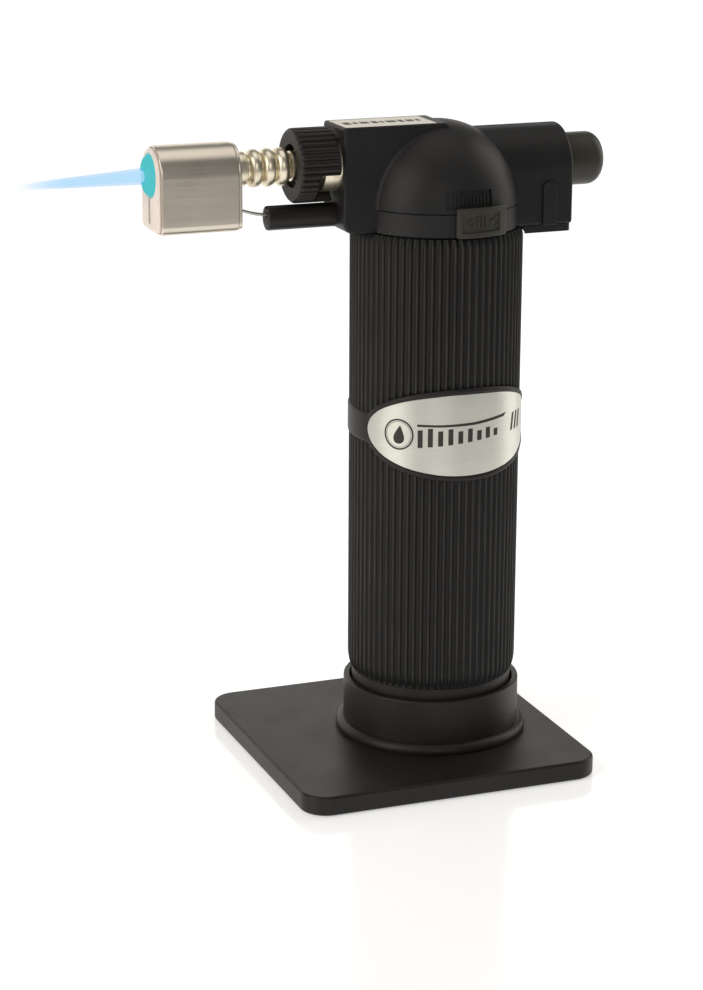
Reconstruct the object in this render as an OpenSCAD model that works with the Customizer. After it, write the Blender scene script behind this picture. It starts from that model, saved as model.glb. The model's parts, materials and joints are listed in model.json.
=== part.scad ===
// Butane table torch on a removable square stand, in millimetres.
// The origin is on the tank axis at the stand's underside. +Z is up, the nozzle points along -X.

/* [Stand] */
// Side of the square plate
stand_w = 95; // [88:1:105]
// Thickness of the plate
stand_t = 6; // [5:0.5:7]
// Corner radius of the plate
stand_corner_r = 8; // [3:1:12]
// How far the plate sits toward the nozzle
stand_shift = 10.5; // [4:0.5:14]
// Height of the collar's rim
collar_top_z = 22.6; // [18:0.2:26]
// Radius of the refill access hole
access_r = 10; // [8:0.5:12]

/* [Grip] */
// Radius over the ribs
grip_r = 26; // [25.6:0.1:27]
// Height of the grip's top edge
grip_top_z = 165; // [163:0.5:165]
// Number of vertical ribs
rib_count = 72; // [36:4:96]
// Depth of the grooves between ribs
rib_depth = 0.7; // [0.3:0.1:1]
// Height where the ribs end and the foot begins
rib_bottom_z = 26; // [25:0.5:30]
// Radius of the foot that sits in the collar
foot_r = 24.8; // [24:0.1:24.8]
// Height of the badge's centre
badge_z = 106.3; // [95:1:115]
// Half of the angle that the badge wraps round
badge_half_angle = 71; // [50:1:74]
// Half of the badge's height
badge_half_h = 12.5; // [8:0.5:16]

/* [Head] */
// Radius of the dome
head_r = 24.4; // [24.2:0.1:24.6]
// Height of the line where the dome meets the ring
split_z = 172.3; // [171:0.1:173]
// Wall thickness of the head shells
wall = 2; // [1.6:0.1:2.2]
// Half width of the front block
block_half_w = 8.8; // [8.6:0.1:10]
// Front face of the front block
block_front_x = -33; // [-34:0.5:-32]
// Half width of the rear block
rear_half_w = 12.6; // [12:0.1:13]
// Back face of the rear block
rear_back_x = 39; // [38:0.5:40]

/* [Burner] */
// Height of the burner's axis
burner_z = 185.2; // [184.8:0.1:185.6]
// Radius over the air ring's ridges
air_ring_r = 11; // [10.6:0.1:11.1]
// Number of ridges on the air ring
ridge_count = 34; // [24:2:48]
// Outer radius of the shield's round top
shield_r = 8.6; // [8.2:0.1:9]
// Height of the shield's flat bottom
shield_bottom_z = 168.3; // [167:0.1:169.4]
// Radius of the shield's two bottom corners
shield_corner_r = 2.7; // [1.5:0.1:4]
// Front edge of the shield
shield_front_x = -88.5; // [-93:0.5:-86]

/* [Controls] */
// Height of the ignition button's axis
button_z = 182.5; // [182:0.1:183]
// Radius of the ignition button
button_r = 8; // [7.8:0.1:8.2]
// Outer end of the ignition button
button_end_x = 52.5; // [52:0.5:57]
// Travel of the ignition button
button_travel = 6; // [4:0.5:6]
// Travel of the lock slider in degrees
lock_travel = 12; // [6:1:14]

/* [Hidden] */
$fn = 64;
seam = 0.1;              // gap between pieces that are assembled face to face
slide_gap = 0.4;         // gap between pieces that move past each other
fit_gap = 0.06;          // radial clearance of a running fit

// Stand and tank
floor_t = 3.3;
collar_inner_r = foot_r + slide_gap + 0.05;
collar_outer_r = collar_inner_r + 2.05;
bead_r = 2.2;
foot_bottom_z = floor_t + 0.2;
foot_wall = 2;
foot_floor_top_z = foot_bottom_z + 3;
tank_r = foot_r - foot_wall - seam;
tank_wall = 1.6;
tank_bottom_z = foot_floor_top_z + seam + 0.2;
tank_floor_t = 3;
tank_top_z = 150;
cap_top_z = 153.5;
sleeve_inner_r = tank_r + 0.15;
belt_h = 9;
belt_rise = 0.35;
bezel_rise = 0.8;
bezel_margin = 1.7;
bezel_margin_angle = 3;

// Fill valve
fill_mouth_z = 4.4;
fill_recess_r = 3;
fill_recess_depth = 4;
fill_shank_r = 4;
fill_stem_r = 1.2;
fill_chamber_z = 11;
fill_chamber_top_z = 17;

// Gas valve and its lever
valve_r = 4.4;
valve_bottom_z = 138.4;
valve_top_z = 158;
valve_chamber_z = 139.8;
valve_chamber_top_z = 150;
stem_r = 1.5;
stem_flange_z = 163.4;
stem_flange_r = 3.2;
stem_top_z = 165;
outlet_z = 156.5;
pivot_x = -4.5;
pivot_z = 161.5;
pivot_pin_r = 1;
lever_tip_z = 178;
lever_tip_r = 1.5;
lever_half_w = 4.1;

// Head
head_bottom_z = 165.2;
block_bottom_z = 165.3;
block_top_z = split_z + head_r;
block_corner_r = 3.4;
block_edge_r = 1.2;
rear_bottom_z = 165.1;
rear_axis_z = 181.3;
ring_inner_r = head_r - wall + 0.1;
screw_places = [[-27, 175.65], [2, 192], [24.6, 171]];
screw_seat_y = [6.4, 10.9, 10.2];
screw_shaft_r = 1.15;
screw_head_r = 2;
boss_r = 2.8;
label_x0 = block_front_x + 1;
label_x1 = -3.2;
label_half_w = block_half_w - 1.2;
label_t = 0.5;
marked_panel = [14.6, 5.2];
marked_panel_x = 0.5;
marked_panel_z = 176.3;

// Burner, all along X
ring_front_x = -46.7;
ring_back_x = -34.4;
ring_bore_r = 8.06;
ring_front_hole_r = 6.4;
block_guide_r = 8;
tube_bore_r = 3;
bulge_count = 3;
bulge_r = 2.15;
bulge_root_r = 3.5;
bulge_pitch = 4.15;
bulge_first_x = -58.1;
flange_x = -65;
flange_t = 1;
flange_inset = 0.4;
shield_z = burner_z - 0.4;
shield_wall = 0.8;
ceramic_proud = 1.1;
ceramic_x0 = shield_front_x - ceramic_proud;
ceramic_t = 11;
mouth_r = 6.2;
mouth_slot_half_w = 1;
mouth_slot_z = shield_bottom_z + 3.4;
electrode_z = 170.2;
electrode_r = 3.6;
electrode_front_x = -54;

// Button and igniter
button_inner_x = 31.5;
button_bore_end_x = 49.7;
button_bore_r = 6.6;
button_round_r = 4;
piezo_r = 5;
piezo_x0 = 6;
piezo_x1 = 31;
plunger_r = 3.2;
pusher_x0 = pivot_x + lever_tip_r + 0.45;
pusher_t = 3.6;
arm_y0 = 5.4;
arm_y1 = 7.4;

// Lock slider
slider_mid_angle = 9.5;
slider_half_angle = 19;
slider_r0 = head_r + 0.3;
slider_r1 = grip_r + 0.3;
slider_z0 = 165.4;
slider_z1 = 174.1;

// Colours
black = [0.13, 0.13, 0.13];
soft_black = [0.2, 0.19, 0.18];
olive = [0.33, 0.33, 0.29];
silver = [0.8, 0.8, 0.77];
steel = [0.7, 0.7, 0.7];
brass = [0.8, 0.68, 0.42];
pale_brass = [0.85, 0.78, 0.62];

// ---- Shared shapes ----

// A cylinder along X
module rod_x(x0, x1, r, z = burner_z, y = 0)
  translate([x0, y, z]) rotate([0, 90, 0]) cylinder(r = r, h = x1 - x0);

// A cylinder along Y
module rod_y(y0, y1, r, x, z)
  translate([x, y1, z]) rotate([90, 0, 0]) cylinder(r = r, h = y1 - y0);

// A pipe along Z
module pipe(z0, z1, r_out, r_in) {
  difference() {
    translate([0, 0, z0]) cylinder(r = r_out, h = z1 - z0);
    translate([0, 0, z0 - 1]) cylinder(r = r_in, h = z1 - z0 + 2);
  }
}

// A box given by its lowest and highest corners
module block(low, high) translate(low) cube(high - low);

// Lays a YZ outline along X
module along_x(x0, x1)
  translate([x0, 0, 0]) rotate([90, 0, 90]) linear_extrude(x1 - x0) children();

// A rectangle with round corners, centred
module round_rectangle(w, h, r) {
  square([w - 2 * r, h], center = true);
  square([w, h - 2 * r], center = true);
  for (x = [-1, 1], y = [-1, 1])
    translate([x * (w / 2 - r), y * (h / 2 - r)]) circle(r);
}

// The shield's outline, round on top and flat below, drawn in by an inset
module shield_outline(inset = 0) {
  r = shield_r - inset;
  low = shield_bottom_z + inset;
  corner = shield_corner_r - inset;
  translate([0, shield_z]) circle(r);
  translate([-r, low + corner]) square([2 * r, shield_z - low - corner]);
  translate([corner - r, low]) square([2 * (r - corner), shield_z - low]);
  for (side = [-1, 1]) translate([side * (r - corner), low + corner]) circle(corner);
}

// A sector of a pipe about Z, its angles measured from -Y toward +X, under 180 degrees
module arc_wall(r0, r1, a0, a1, z0, z1) {
  reach = 2 * r1;
  intersection() {
    pipe(z0, z1, r1, r0);
    translate([0, 0, z0 - 1]) linear_extrude(z1 - z0 + 2) polygon([[0, 0],
      reach * [sin(a0), -cos(a0)],
      reach * 1.5 * [sin((a0 + a1) / 2), -cos((a0 + a1) / 2)],
      reach * [sin(a1), -cos(a1)]]);
  }
}

function unit(v) = v / norm(v);
function spline_point(a, b, c, d, t) = 0.5 * (2 * b + (c - a) * t
  + (2 * a - 5 * b + 4 * c - d) * t * t + (3 * b - a - 3 * c + d) * t * t * t);
function spline(p, steps) = [for (i = [0 : len(p) - 2], k = [0 : steps - 1])
  spline_point(p[max(i - 1, 0)], p[i], p[i + 1], p[min(i + 2, len(p) - 1)], k / steps),
  p[len(p) - 1]];
function coil(r, length, turns, steps) = [for (i = [0 : turns * steps])
  [r * cos(360 * i / steps), r * sin(360 * i / steps), length * i / (turns * steps)]];

// A round wire swept along a path, with its end caps
module wire(path, r, sides = 8, side_axis = [0, 1, 0]) {
  last = len(path) - 1;
  rings = [for (i = [0 : last])
    let (t = unit(path[min(i + 1, last)] - path[max(i - 1, 0)]),
         n = unit(cross(side_axis, t)), b = cross(t, n))
    for (j = [0 : sides - 1]) path[i] + r * (cos(360 * j / sides) * n + sin(360 * j / sides) * b)];
  sides_faces = [for (i = [0 : last - 1], j = [0 : sides - 1])
    [i * sides + j, (i + 1) * sides + j, (i + 1) * sides + (j + 1) % sides, i * sides + (j + 1) % sides]];
  caps = [[for (j = [0 : sides - 1]) j], [for (j = [sides - 1 : -1 : 0]) last * sides + j]];
  polyhedron(points = rings, faces = concat(sides_faces, caps), convexity = 8);
}

// The outline of the badge, grown by a margin, seen along Y
module badge_outline(margin_h, margin_angle) {
  steps = 48;
  polygon([for (i = [0 : steps - 1])
    let (a = 360 * i / steps, turn = (badge_half_angle + margin_angle) * cos(a))
    [(grip_r + bezel_rise) * sin(turn), badge_z + (badge_half_h + margin_h) * sin(a)]]);
}

// The part of a pipe wall that lies under the badge outline
module badge_wrap(r0, r1, margin_h = 0, margin_angle = 0) {
  intersection() {
    pipe(badge_z - 20, badge_z + 20, r1, r0);
    rotate([90, 0, 0]) linear_extrude(40) badge_outline(margin_h, margin_angle);
  }
}

// ---- Stand ----

module stand_plate() {
  color(black) difference() {
    translate([-stand_shift, 0, 0]) linear_extrude(stand_t)
      round_rectangle(stand_w, stand_w, stand_corner_r);
    translate([0, 0, floor_t]) cylinder(r = collar_inner_r, h = stand_t);
    translate([0, 0, -1]) cylinder(r = access_r, h = floor_t + 2);
  }
}

// The collar and the bead ring at its foot, moulded onto the plate
module stand_collar() {
  color(black) {
    pipe(stand_t, collar_top_z, collar_outer_r, collar_inner_r);
    rotate_extrude() difference() {
      translate([collar_outer_r + 0.2, stand_t + 1]) circle(bead_r);
      translate([0, 0]) square([60, stand_t]);
      translate([0, 0]) square([collar_outer_r - 1, 20]);
    }
  }
}

// ---- Tank and grip ----

module tank_foot() {
  color(soft_black) difference() {
    translate([0, 0, foot_bottom_z]) cylinder(r = foot_r, h = rib_bottom_z - seam - foot_bottom_z);
    translate([0, 0, foot_floor_top_z]) cylinder(r = foot_r - foot_wall, h = rib_bottom_z);
    translate([0, 0, foot_bottom_z - 1]) cylinder(r = 6.6, h = 6);
  }
}

module fuel_tank() {
  groove_r = fill_shank_r + 1.4;
  color([0.5, 0.5, 0.48]) difference() {
    translate([0, 0, tank_bottom_z]) cylinder(r = tank_r, h = tank_top_z - tank_bottom_z);
    translate([0, 0, tank_bottom_z + tank_floor_t]) cylinder(r = tank_r - tank_wall, h = tank_top_z);
    translate([0, 0, 0]) cylinder(r = fill_shank_r + 0.05, h = 20);
    translate([0, 0, 0]) cylinder(r = groove_r, h = tank_bottom_z + 1.8);
  }
}

module tank_cap() {
  post_t = 2;
  spigot_r = tank_r - tank_wall - seam;
  color([0.42, 0.42, 0.4]) difference() {
    union() {
      pipe(tank_top_z - 5, tank_top_z + seam, spigot_r, spigot_r - 2.4);
      translate([0, 0, tank_top_z + seam]) cylinder(r = tank_r, h = cap_top_z - tank_top_z - seam);
      for (side = [-1, 1]) translate([pivot_x, side * (lever_half_w + 0.3 + post_t / 2), cap_top_z - 1]) {
        translate([0, 0, (pivot_z - cap_top_z + 1) / 2])
          cube([3.8, post_t, pivot_z - cap_top_z + 1], center = true);
        translate([0, 0, pivot_z - cap_top_z + 1]) rotate([90, 0, 0])
          cylinder(r = 1.9, h = post_t, center = true);
      }
    }
    translate([0, 0, tank_top_z - 6]) cylinder(r = valve_r + 0.05, h = 12);
    rod_y(-10, 10, pivot_pin_r + 0.02, pivot_x, pivot_z);
  }
}

module grip_sleeve() {
  chamfer = 1;
  chamfer_h = 3;
  shoulder_h = 5;
  steps = rib_count * 2;
  color(soft_black) difference() {
    union() {
      intersection() {
        translate([0, 0, rib_bottom_z]) linear_extrude(grip_top_z - rib_bottom_z)
          polygon([for (i = [0 : steps - 1])
            let (a = 360 * i / steps, r = grip_r - rib_depth * (i % 2)) r * [cos(a), sin(a)]]);
        union() {
          translate([0, 0, rib_bottom_z]) cylinder(r1 = grip_r - chamfer, r2 = grip_r + 0.2, h = shoulder_h);
          translate([0, 0, rib_bottom_z + shoulder_h])
            cylinder(r = 30, h = grip_top_z - chamfer_h - rib_bottom_z - shoulder_h);
          translate([0, 0, grip_top_z - chamfer_h])
            cylinder(r1 = grip_r + 0.2, r2 = grip_r - chamfer, h = chamfer_h);
        }
      }
      translate([0, 0, badge_z - belt_h / 2]) cylinder(r = grip_r + belt_rise, h = belt_h);
      badge_wrap(sleeve_inner_r, grip_r + bezel_rise, bezel_margin, bezel_margin_angle);
    }
    translate([0, 0, rib_bottom_z - 1]) cylinder(r = sleeve_inner_r, h = grip_top_z);
    badge_wrap(grip_r + 0.1, grip_r + 5, 0.1, 0.2);
  }
}

module badge_plate() {
  color(silver) badge_wrap(grip_r + 0.15, grip_r + 0.65);
}

// ---- Fill valve ----

module fill_valve_body() {
  color(brass) difference() {
    union() {
      translate([0, 0, fill_mouth_z]) cylinder(r = 6, h = foot_floor_top_z + 0.1 - fill_mouth_z);
      translate([0, 0, fill_mouth_z]) cylinder(r = fill_shank_r, h = fill_chamber_top_z + 1 - fill_mouth_z);
    }
    translate([0, 0, fill_mouth_z - 1]) cylinder(r = fill_recess_r, h = fill_recess_depth + 1);
    translate([0, 0, fill_mouth_z]) cylinder(r = fill_stem_r + fit_gap, h = 10);
    translate([0, 0, fill_chamber_z])
      cylinder(r = 2.6, h = fill_chamber_top_z - fill_chamber_z);
    translate([0, 0, fill_chamber_z]) cylinder(r = 0.8, h = 10);
  }
}

module fill_valve_stem() {
  tip_z = fill_mouth_z + fill_recess_depth + 0.05;
  color(steel) {
    translate([0, 0, tip_z]) cylinder(r = fill_stem_r, h = fill_chamber_z + 0.3 - tip_z);
    translate([0, 0, fill_chamber_z + 0.3]) cylinder(r = 2.3, h = 1);
  }
}

module fill_valve_spring() {
  spring_z = fill_chamber_z + 1.6;
  color(steel) translate([0, 0, spring_z])
    wire(coil(1.6, fill_chamber_top_z - spring_z - 0.3, 5, 12), 0.22, 6, [0, 0, 1]);
}

module fill_valve_seal() {
  color([0.1, 0.1, 0.1]) rotate_extrude()
    translate([fill_shank_r + 0.72, tank_bottom_z + 0.9]) circle(0.6);
}

// ---- Gas valve ----

module gas_valve_body() {
  stub_end_x = -8;
  color(brass) difference() {
    union() {
      translate([0, 0, valve_bottom_z]) cylinder(r = valve_r, h = valve_top_z - valve_bottom_z);
      translate([0, 0, cap_top_z + seam]) cylinder(r = valve_r + 0.4, h = 1.2);
      rod_x(stub_end_x, -valve_r + 1, 1.1, outlet_z);
    }
    translate([0, 0, valve_chamber_z])
      cylinder(r = 3.2, h = valve_chamber_top_z - valve_chamber_z);
    translate([0, 0, valve_chamber_z]) cylinder(r = stem_r + fit_gap, h = 30);
    translate([0, 0, valve_bottom_z - 1]) cylinder(r = 0.8, h = 4);
    rod_x(stub_end_x - 1, -1, 0.6, outlet_z);
  }
}

module gas_valve_stem() {
  color(steel) {
    translate([0, 0, valve_chamber_z + 1.3]) cylinder(r = 2.8, h = 1.2);
    translate([0, 0, valve_chamber_z + 1.3]) cylinder(r = stem_r, h = stem_top_z - valve_chamber_z - 1.3);
    translate([0, 0, stem_flange_z]) cylinder(r = stem_flange_r, h = stem_top_z - stem_flange_z);
  }
}

module gas_valve_spring() {
  spring_z = valve_chamber_z + 2.9;
  color(steel) translate([0, 0, spring_z])
    wire(coil(2.35, valve_chamber_top_z - spring_z - 0.4, 5, 14), 0.3, 6, [0, 0, 1]);
}

module gas_valve_seal() {
  color([0.1, 0.1, 0.1]) translate([0, 0, valve_chamber_z + 0.05]) cylinder(r = 2.4, h = 1.2);
}

module fuel_filter() {
  color([0.85, 0.83, 0.75]) difference() {
    translate([0, 0, valve_bottom_z - 3]) cylinder(r = valve_r + 2, h = 12);
    translate([0, 0, valve_bottom_z - seam]) cylinder(r = valve_r + 0.05, h = 20);
  }
}

// ---- Lever and gas path ----

module valve_lever() {
  fork_x = 0.6;
  fork_low_z = pivot_z - 0.6;
  fork_high_z = pivot_z + 1.4;
  color(steel) difference() {
    union() {
      rod_y(-lever_half_w, lever_half_w, 1.9, pivot_x, pivot_z);
      block([pivot_x - 1, -2, pivot_z], [pivot_x + 0.8, 2, lever_tip_z]);
      rod_y(-2.5, 2.5, lever_tip_r, pivot_x, lever_tip_z);
      block([pivot_x, -3.9, fork_low_z], [fork_x, 3.9, fork_high_z]);
    }
    rod_y(-10, 10, pivot_pin_r + fit_gap, pivot_x, pivot_z);
    block([-stem_r - 0.45, -stem_r - 0.45, pivot_z - 5], [fork_x + 1, stem_r + 0.45, pivot_z + 5]);
  }
}

module lever_pin() {
  color(steel) rod_y(-lever_half_w - 2.2, lever_half_w + 2.2, pivot_pin_r, pivot_x, pivot_z);
}

module gas_tube() {
  tube_r = 1.1;
  route = [[-19.9, 0, burner_z], [-17.5, 0.5, 185], [-15.5, 3, 182], [-15, 5.5, 176],
    [-14.5, 6.5, 168], [-13.8, 5.5, 161], [-12, 2, 157.4], [-10, 0, outlet_z], [-8.2, 0, outlet_z]];
  color([0.75, 0.5, 0.35]) wire(spline(route, 5), tube_r, 10);
}

module gas_jet() {
  color(brass) difference() {
    union() {
      rod_x(-32.5, -20, 2.5);
      rod_x(-35, -32.5, 1.2);
    }
    rod_x(-32, -19, 0.9);
    rod_x(-36, -31, 0.25);
  }
}

module burner_block() {
  color(pale_brass) difference() {
    union() {
      rod_x(-44.8, -38, 4.6);
      rod_x(-38.2, block_front_x - seam, block_guide_r);
      rod_x(block_front_x - 1, -22, 6.05);
      rod_x(-30.8, -28.8, 6.6);
    }
    rod_x(-47, -42, 4);
    rod_x(-43, -33, tube_bore_r);
    rod_x(-34, -21, 2.52);
    rod_y(-9, 9, 1.3, -39.8, burner_z);
    translate([-39.8, 0, burner_z - 9]) cylinder(r = 1.3, h = 18);
  }
}

module air_ring() {
  steps = ridge_count * 4;
  ridge_depth = 0.5;
  window_x = -41.2;
  window_half_w = 6;
  color(black) difference() {
    along_x(ring_front_x, ring_back_x) translate([0, burner_z])
      polygon([for (i = [0 : steps - 1])
        let (a = 360 * i / steps, r = air_ring_r - ridge_depth * (i % 4 < 2 ? 0 : 1)) r * [cos(a), sin(a)]]);
    rod_x(ring_front_x + 1.5, ring_back_x + 1, ring_bore_r);
    rod_x(ring_front_x - 1, ring_back_x + 1, ring_front_hole_r);
    for (turn = [-48, 132]) translate([0, 0, burner_z]) rotate([turn, 0, 0])
      block([window_x, -air_ring_r - 1, -window_half_w], [ring_back_x + 1, -5, window_half_w]);
  }
}

module burner_tube() {
  color(pale_brass) difference() {
    union() {
      rod_x(-70, -62, 4.2);
      rod_x(-70, -42, 3.7);
      rod_x(flange_x + flange_t + seam, -60.9, 5.1);
      rod_x(-47, -45.2, 4.4);
      rod_x(-45.2, -42.1, 3.95);
      for (i = [0 : bulge_count - 1]) translate([bulge_first_x + i * bulge_pitch, 0, burner_z])
        rotate([0, 90, 0]) rotate_extrude() translate([bulge_root_r, 0]) intersection() {
          circle(bulge_r);
          translate([0, -3]) square([3, 6]);
        }
    }
    rod_x(-71, -41, tube_bore_r);
  }
}

module flame_holder() {
  color(steel) difference() {
    rod_x(-69.5, -67.5, tube_bore_r - 0.05);
    rod_x(-71, -66, 0.6);
    for (a = [0 : 60 : 300]) rod_x(-71, -66, 0.5, burner_z + 1.9 * sin(a), 1.9 * cos(a));
  }
}

module nozzle_shield() {
  color(steel) difference() {
    along_x(shield_front_x, flange_x - seam) shield_outline();
    along_x(shield_front_x - 1, flange_x + 1) shield_outline(shield_wall);
  }
}

module shield_flange() {
  color(steel) difference() {
    along_x(flange_x, flange_x + flange_t) shield_outline(flange_inset);
    rod_x(flange_x - 1, flange_x + 3, 4.25);
    rod_x(flange_x - 1, flange_x + 3, 1.1, electrode_z + 3.8);
  }
}

module ceramic_insert() {
  color([0.93, 0.9, 0.86]) difference() {
    along_x(ceramic_x0, ceramic_x0 + ceramic_t) shield_outline(shield_wall + seam);
    rod_x(ceramic_x0 - 1, ceramic_x0 + ceramic_t + 1, mouth_r, shield_z);
    rod_x(ceramic_x0 - 1, ceramic_x0 + ceramic_t + 1, mouth_slot_half_w, mouth_slot_z);
    block([ceramic_x0 - 1, -mouth_slot_half_w, mouth_slot_z],
      [ceramic_x0 + ceramic_t + 1, mouth_slot_half_w, shield_z]);
  }
}

// ---- Ignition ----

module electrode_holder() {
  groove_z = electrode_z + 2.9;
  color(black) difference() {
    union() {
      rod_x(electrode_front_x, block_front_x - seam, electrode_r, electrode_z);
      rod_x(block_front_x - 1, -24, 2.5, electrode_z);
    }
    block([electrode_front_x - 1, -0.7, groove_z], [block_front_x - 3, 0.7, groove_z + 3]);
    rod_x(electrode_front_x - 1, -49, 0.8, electrode_z + 1);
  }
}

module electrode_wire() {
  route = [[-49.5, 0, electrode_z + 1], [-54.5, 0, electrode_z + 1.15], [-58, 0, 171.9], [-62, 0, 173.1],
    [-64.5, 0, 174], [-68, 0, 174.9], [-74, 0, 176.2], [-77, 0, 179.6]];
  color(steel) wire(spline(route, 4), 0.5, 8);
}

module ignition_lead() {
  route = [[5.6, 0, 186], [3, 0, 187.4], [-6, -3, 188.3], [-14, -5, 185.5], [-17, -6, 180],
    [-19.5, -4, 174], [-21.2, -1, 170.8], [-23.9, 0, electrode_z]];
  color([0.6, 0.12, 0.1]) wire(spline(route, 5), 0.7, 8);
}

module piezo_body() {
  color([0.75, 0.72, 0.62]) difference() {
    rod_x(piezo_x0, piezo_x1, piezo_r, button_z);
    rod_x(17.5, piezo_x1 + 1, plunger_r + fit_gap, button_z);
  }
}

module piezo_plunger() {
  color([0.85, 0.85, 0.8]) rod_x(24, button_bore_end_x - seam, plunger_r, button_z);
}

module button_spring() {
  length = button_bore_end_x - piezo_x1 - 1.2;
  color(steel) translate([piezo_x1 + 0.6, 0, button_z]) rotate([0, 90, 0])
    wire(coil(4.5, length, 7, 16), 0.45, 6, [0, 0, 1]);
}

module ignition_button() {
  color(olive) difference() {
    union() {
      translate([0, 0, button_z]) rotate([0, 90, 0]) rotate_extrude() {
        translate([0, button_inner_x]) square([button_r, button_end_x - button_round_r - button_inner_x]);
        translate([0, button_inner_x]) square([button_r - button_round_r, button_end_x - button_inner_x]);
        translate([button_r - button_round_r, button_end_x - button_round_r]) intersection() {
          circle(button_round_r);
          square(button_round_r);
        }
      }
      for (side = [-1, 1]) mirror([0, side > 0 ? 0 : 1, 0])
        block([pusher_x0, arm_y0, button_z - 2.5], [button_inner_x + 1, arm_y1, button_z + 2.5]);
      block([pusher_x0, -arm_y1, lever_tip_z - 2], [pusher_x0 + pusher_t, arm_y1, button_z + 2.5]);
    }
    rod_x(button_inner_x - 1, button_bore_end_x, button_bore_r, button_z);
    rod_x(pusher_x0 + pusher_t, button_inner_x + 1, piezo_r + 0.35, button_z);
  }
}

module lock_slider() {
  a0 = slider_mid_angle - slider_half_angle;
  a1 = slider_mid_angle + slider_half_angle;
  color(olive) {
    difference() {
      arc_wall(slider_r0, slider_r1, a0, a1, slider_z0, slider_z1);
      arc_wall(slider_r1 - 0.7, slider_r1 + 1, a0 + 4, a1 - 3, slider_z0 + 1.6, slider_z1 - 1.6);
    }
    arc_wall(21, slider_r0 + 0.1, slider_mid_angle - 5, slider_mid_angle + 5, 168, 170);
    arc_wall(20.2, 22, slider_mid_angle - 8, slider_mid_angle + 8, 167, 171);
    arc_wall(19.4, 21, slider_mid_angle - 4, slider_mid_angle + 4, 167, 177);
  }
}

// ---- Head ----

module front_block(inset) {
  front_x = block_front_x + inset;
  low_z = block_bottom_z + inset;
  high_z = block_top_z - inset;
  half_w = block_half_w - inset;
  r = block_corner_r - inset / 2;
  edge_r = max(block_edge_r - inset / 2, 0.2);
  intersection() {
    rotate([90, 0, 0]) linear_extrude(2 * half_w, center = true) {
      translate([front_x + r, low_z]) square([-front_x - r, high_z - low_z]);
      translate([front_x, low_z + r]) square([-front_x, high_z - low_z - r]);
      translate([front_x + r, low_z + r]) circle(r);
    }
    along_x(front_x, 0) {
      translate([-half_w, low_z]) square([2 * half_w, high_z - low_z - edge_r]);
      translate([edge_r - half_w, low_z]) square([2 * (half_w - edge_r), high_z - low_z]);
      for (side = [-1, 1])
        translate([side * (half_w - edge_r), high_z - edge_r]) circle(edge_r);
    }
  }
}

module rear_block(inset) {
  half_w = rear_half_w - inset;
  low_z = rear_bottom_z + inset;
  along_x(0, rear_back_x - inset * 1.4) {
    translate([0, rear_axis_z]) circle(half_w);
    translate([-half_w, low_z]) square([2 * half_w, rear_axis_z - low_z]);
  }
}

module head_form(inset) {
  intersection() {
    translate([0, 0, split_z]) sphere(head_r - inset);
    block([-30, -30, split_z], [30, 30, split_z + 30]);
  }
  front_block(inset);
  rear_block(inset);
}

// Bosses, cradle ribs and side ribs, before they are cut to the outside of the head
module head_inner_ribs() {
  for (p = screw_places) rod_y(-25, 25, boss_r, p[0], p[1]);
  block([9, -4.6, 184], [12, 4.6, 200]);
  block([19, -4.6, 184], [22, 4.6, 200]);
}

module head_side_ribs() {
  rib_rise = 0.8;
  rib_x = 31.2;
  rib_r = 2.3;
  rib_top_z = 176;
  rod_y(-rear_half_w - rib_rise, rear_half_w + rib_rise, rib_r, rib_x, rib_top_z);
  block([rib_x - rib_r, -rear_half_w - rib_rise, rear_bottom_z],
    [rib_x + rib_r, rear_half_w + rib_rise, rib_top_z]);
}

module head_shell(side) {
  half = [[-60, side > 0 ? seam / 2 : -40, 150], [60, side > 0 ? 40 : -seam / 2, 210]];
  intersection() {
    block(half[0], half[1]);
    difference() {
      union() {
        difference() {
          union() {
            head_form(0);
            head_side_ribs();
          }
          head_form(wall);
        }
        intersection() {
          head_form(0.5);
          head_inner_ribs();
        }
      }
      translate([0, 0, 150]) cylinder(r = ring_inner_r, h = split_z - 150 + 0.6);
      rod_x(piezo_x0, piezo_x1, piezo_r + 0.05, button_z);
      rod_x(block_front_x - 1, -25, 6.1);
      rod_x(block_front_x - 1, -25, 2.55, electrode_z);
      rod_x(rear_back_x - 6, rear_back_x + 1, button_r + 0.08, button_z);
      block([28, -10, 160], [37, 10, rear_bottom_z + wall + 0.1]);
      block([label_x0 - seam, -label_half_w - seam, block_top_z - label_t - 0.05],
        [label_x1 + seam, label_half_w + seam, block_top_z + 1]);
      marked_panel_recess();
      for (i = [0 : 2]) let (x = screw_places[i][0], z = screw_places[i][1]) {
        rod_y(-screw_seat_y[i] + 3, 30, screw_shaft_r + (side > 0 ? 0.3 : 0.03), x, z);
        rod_y(screw_seat_y[i], 30, screw_head_r + 0.15, x, z);
      }
    }
  }
}

module marked_panel_recess() {
  difference() {
    block([marked_panel_x - marked_panel[0] / 2, -30, marked_panel_z - marked_panel[1] / 2],
      [marked_panel_x + marked_panel[0] / 2, -15, marked_panel_z + marked_panel[1] / 2]);
    translate([0, 0, split_z]) sphere(head_r - 0.45);
  }
}

module head_shell_left() {
  color(soft_black) head_shell(-1);
}

module head_shell_right() {
  color(soft_black) head_shell(1);
}

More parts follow.
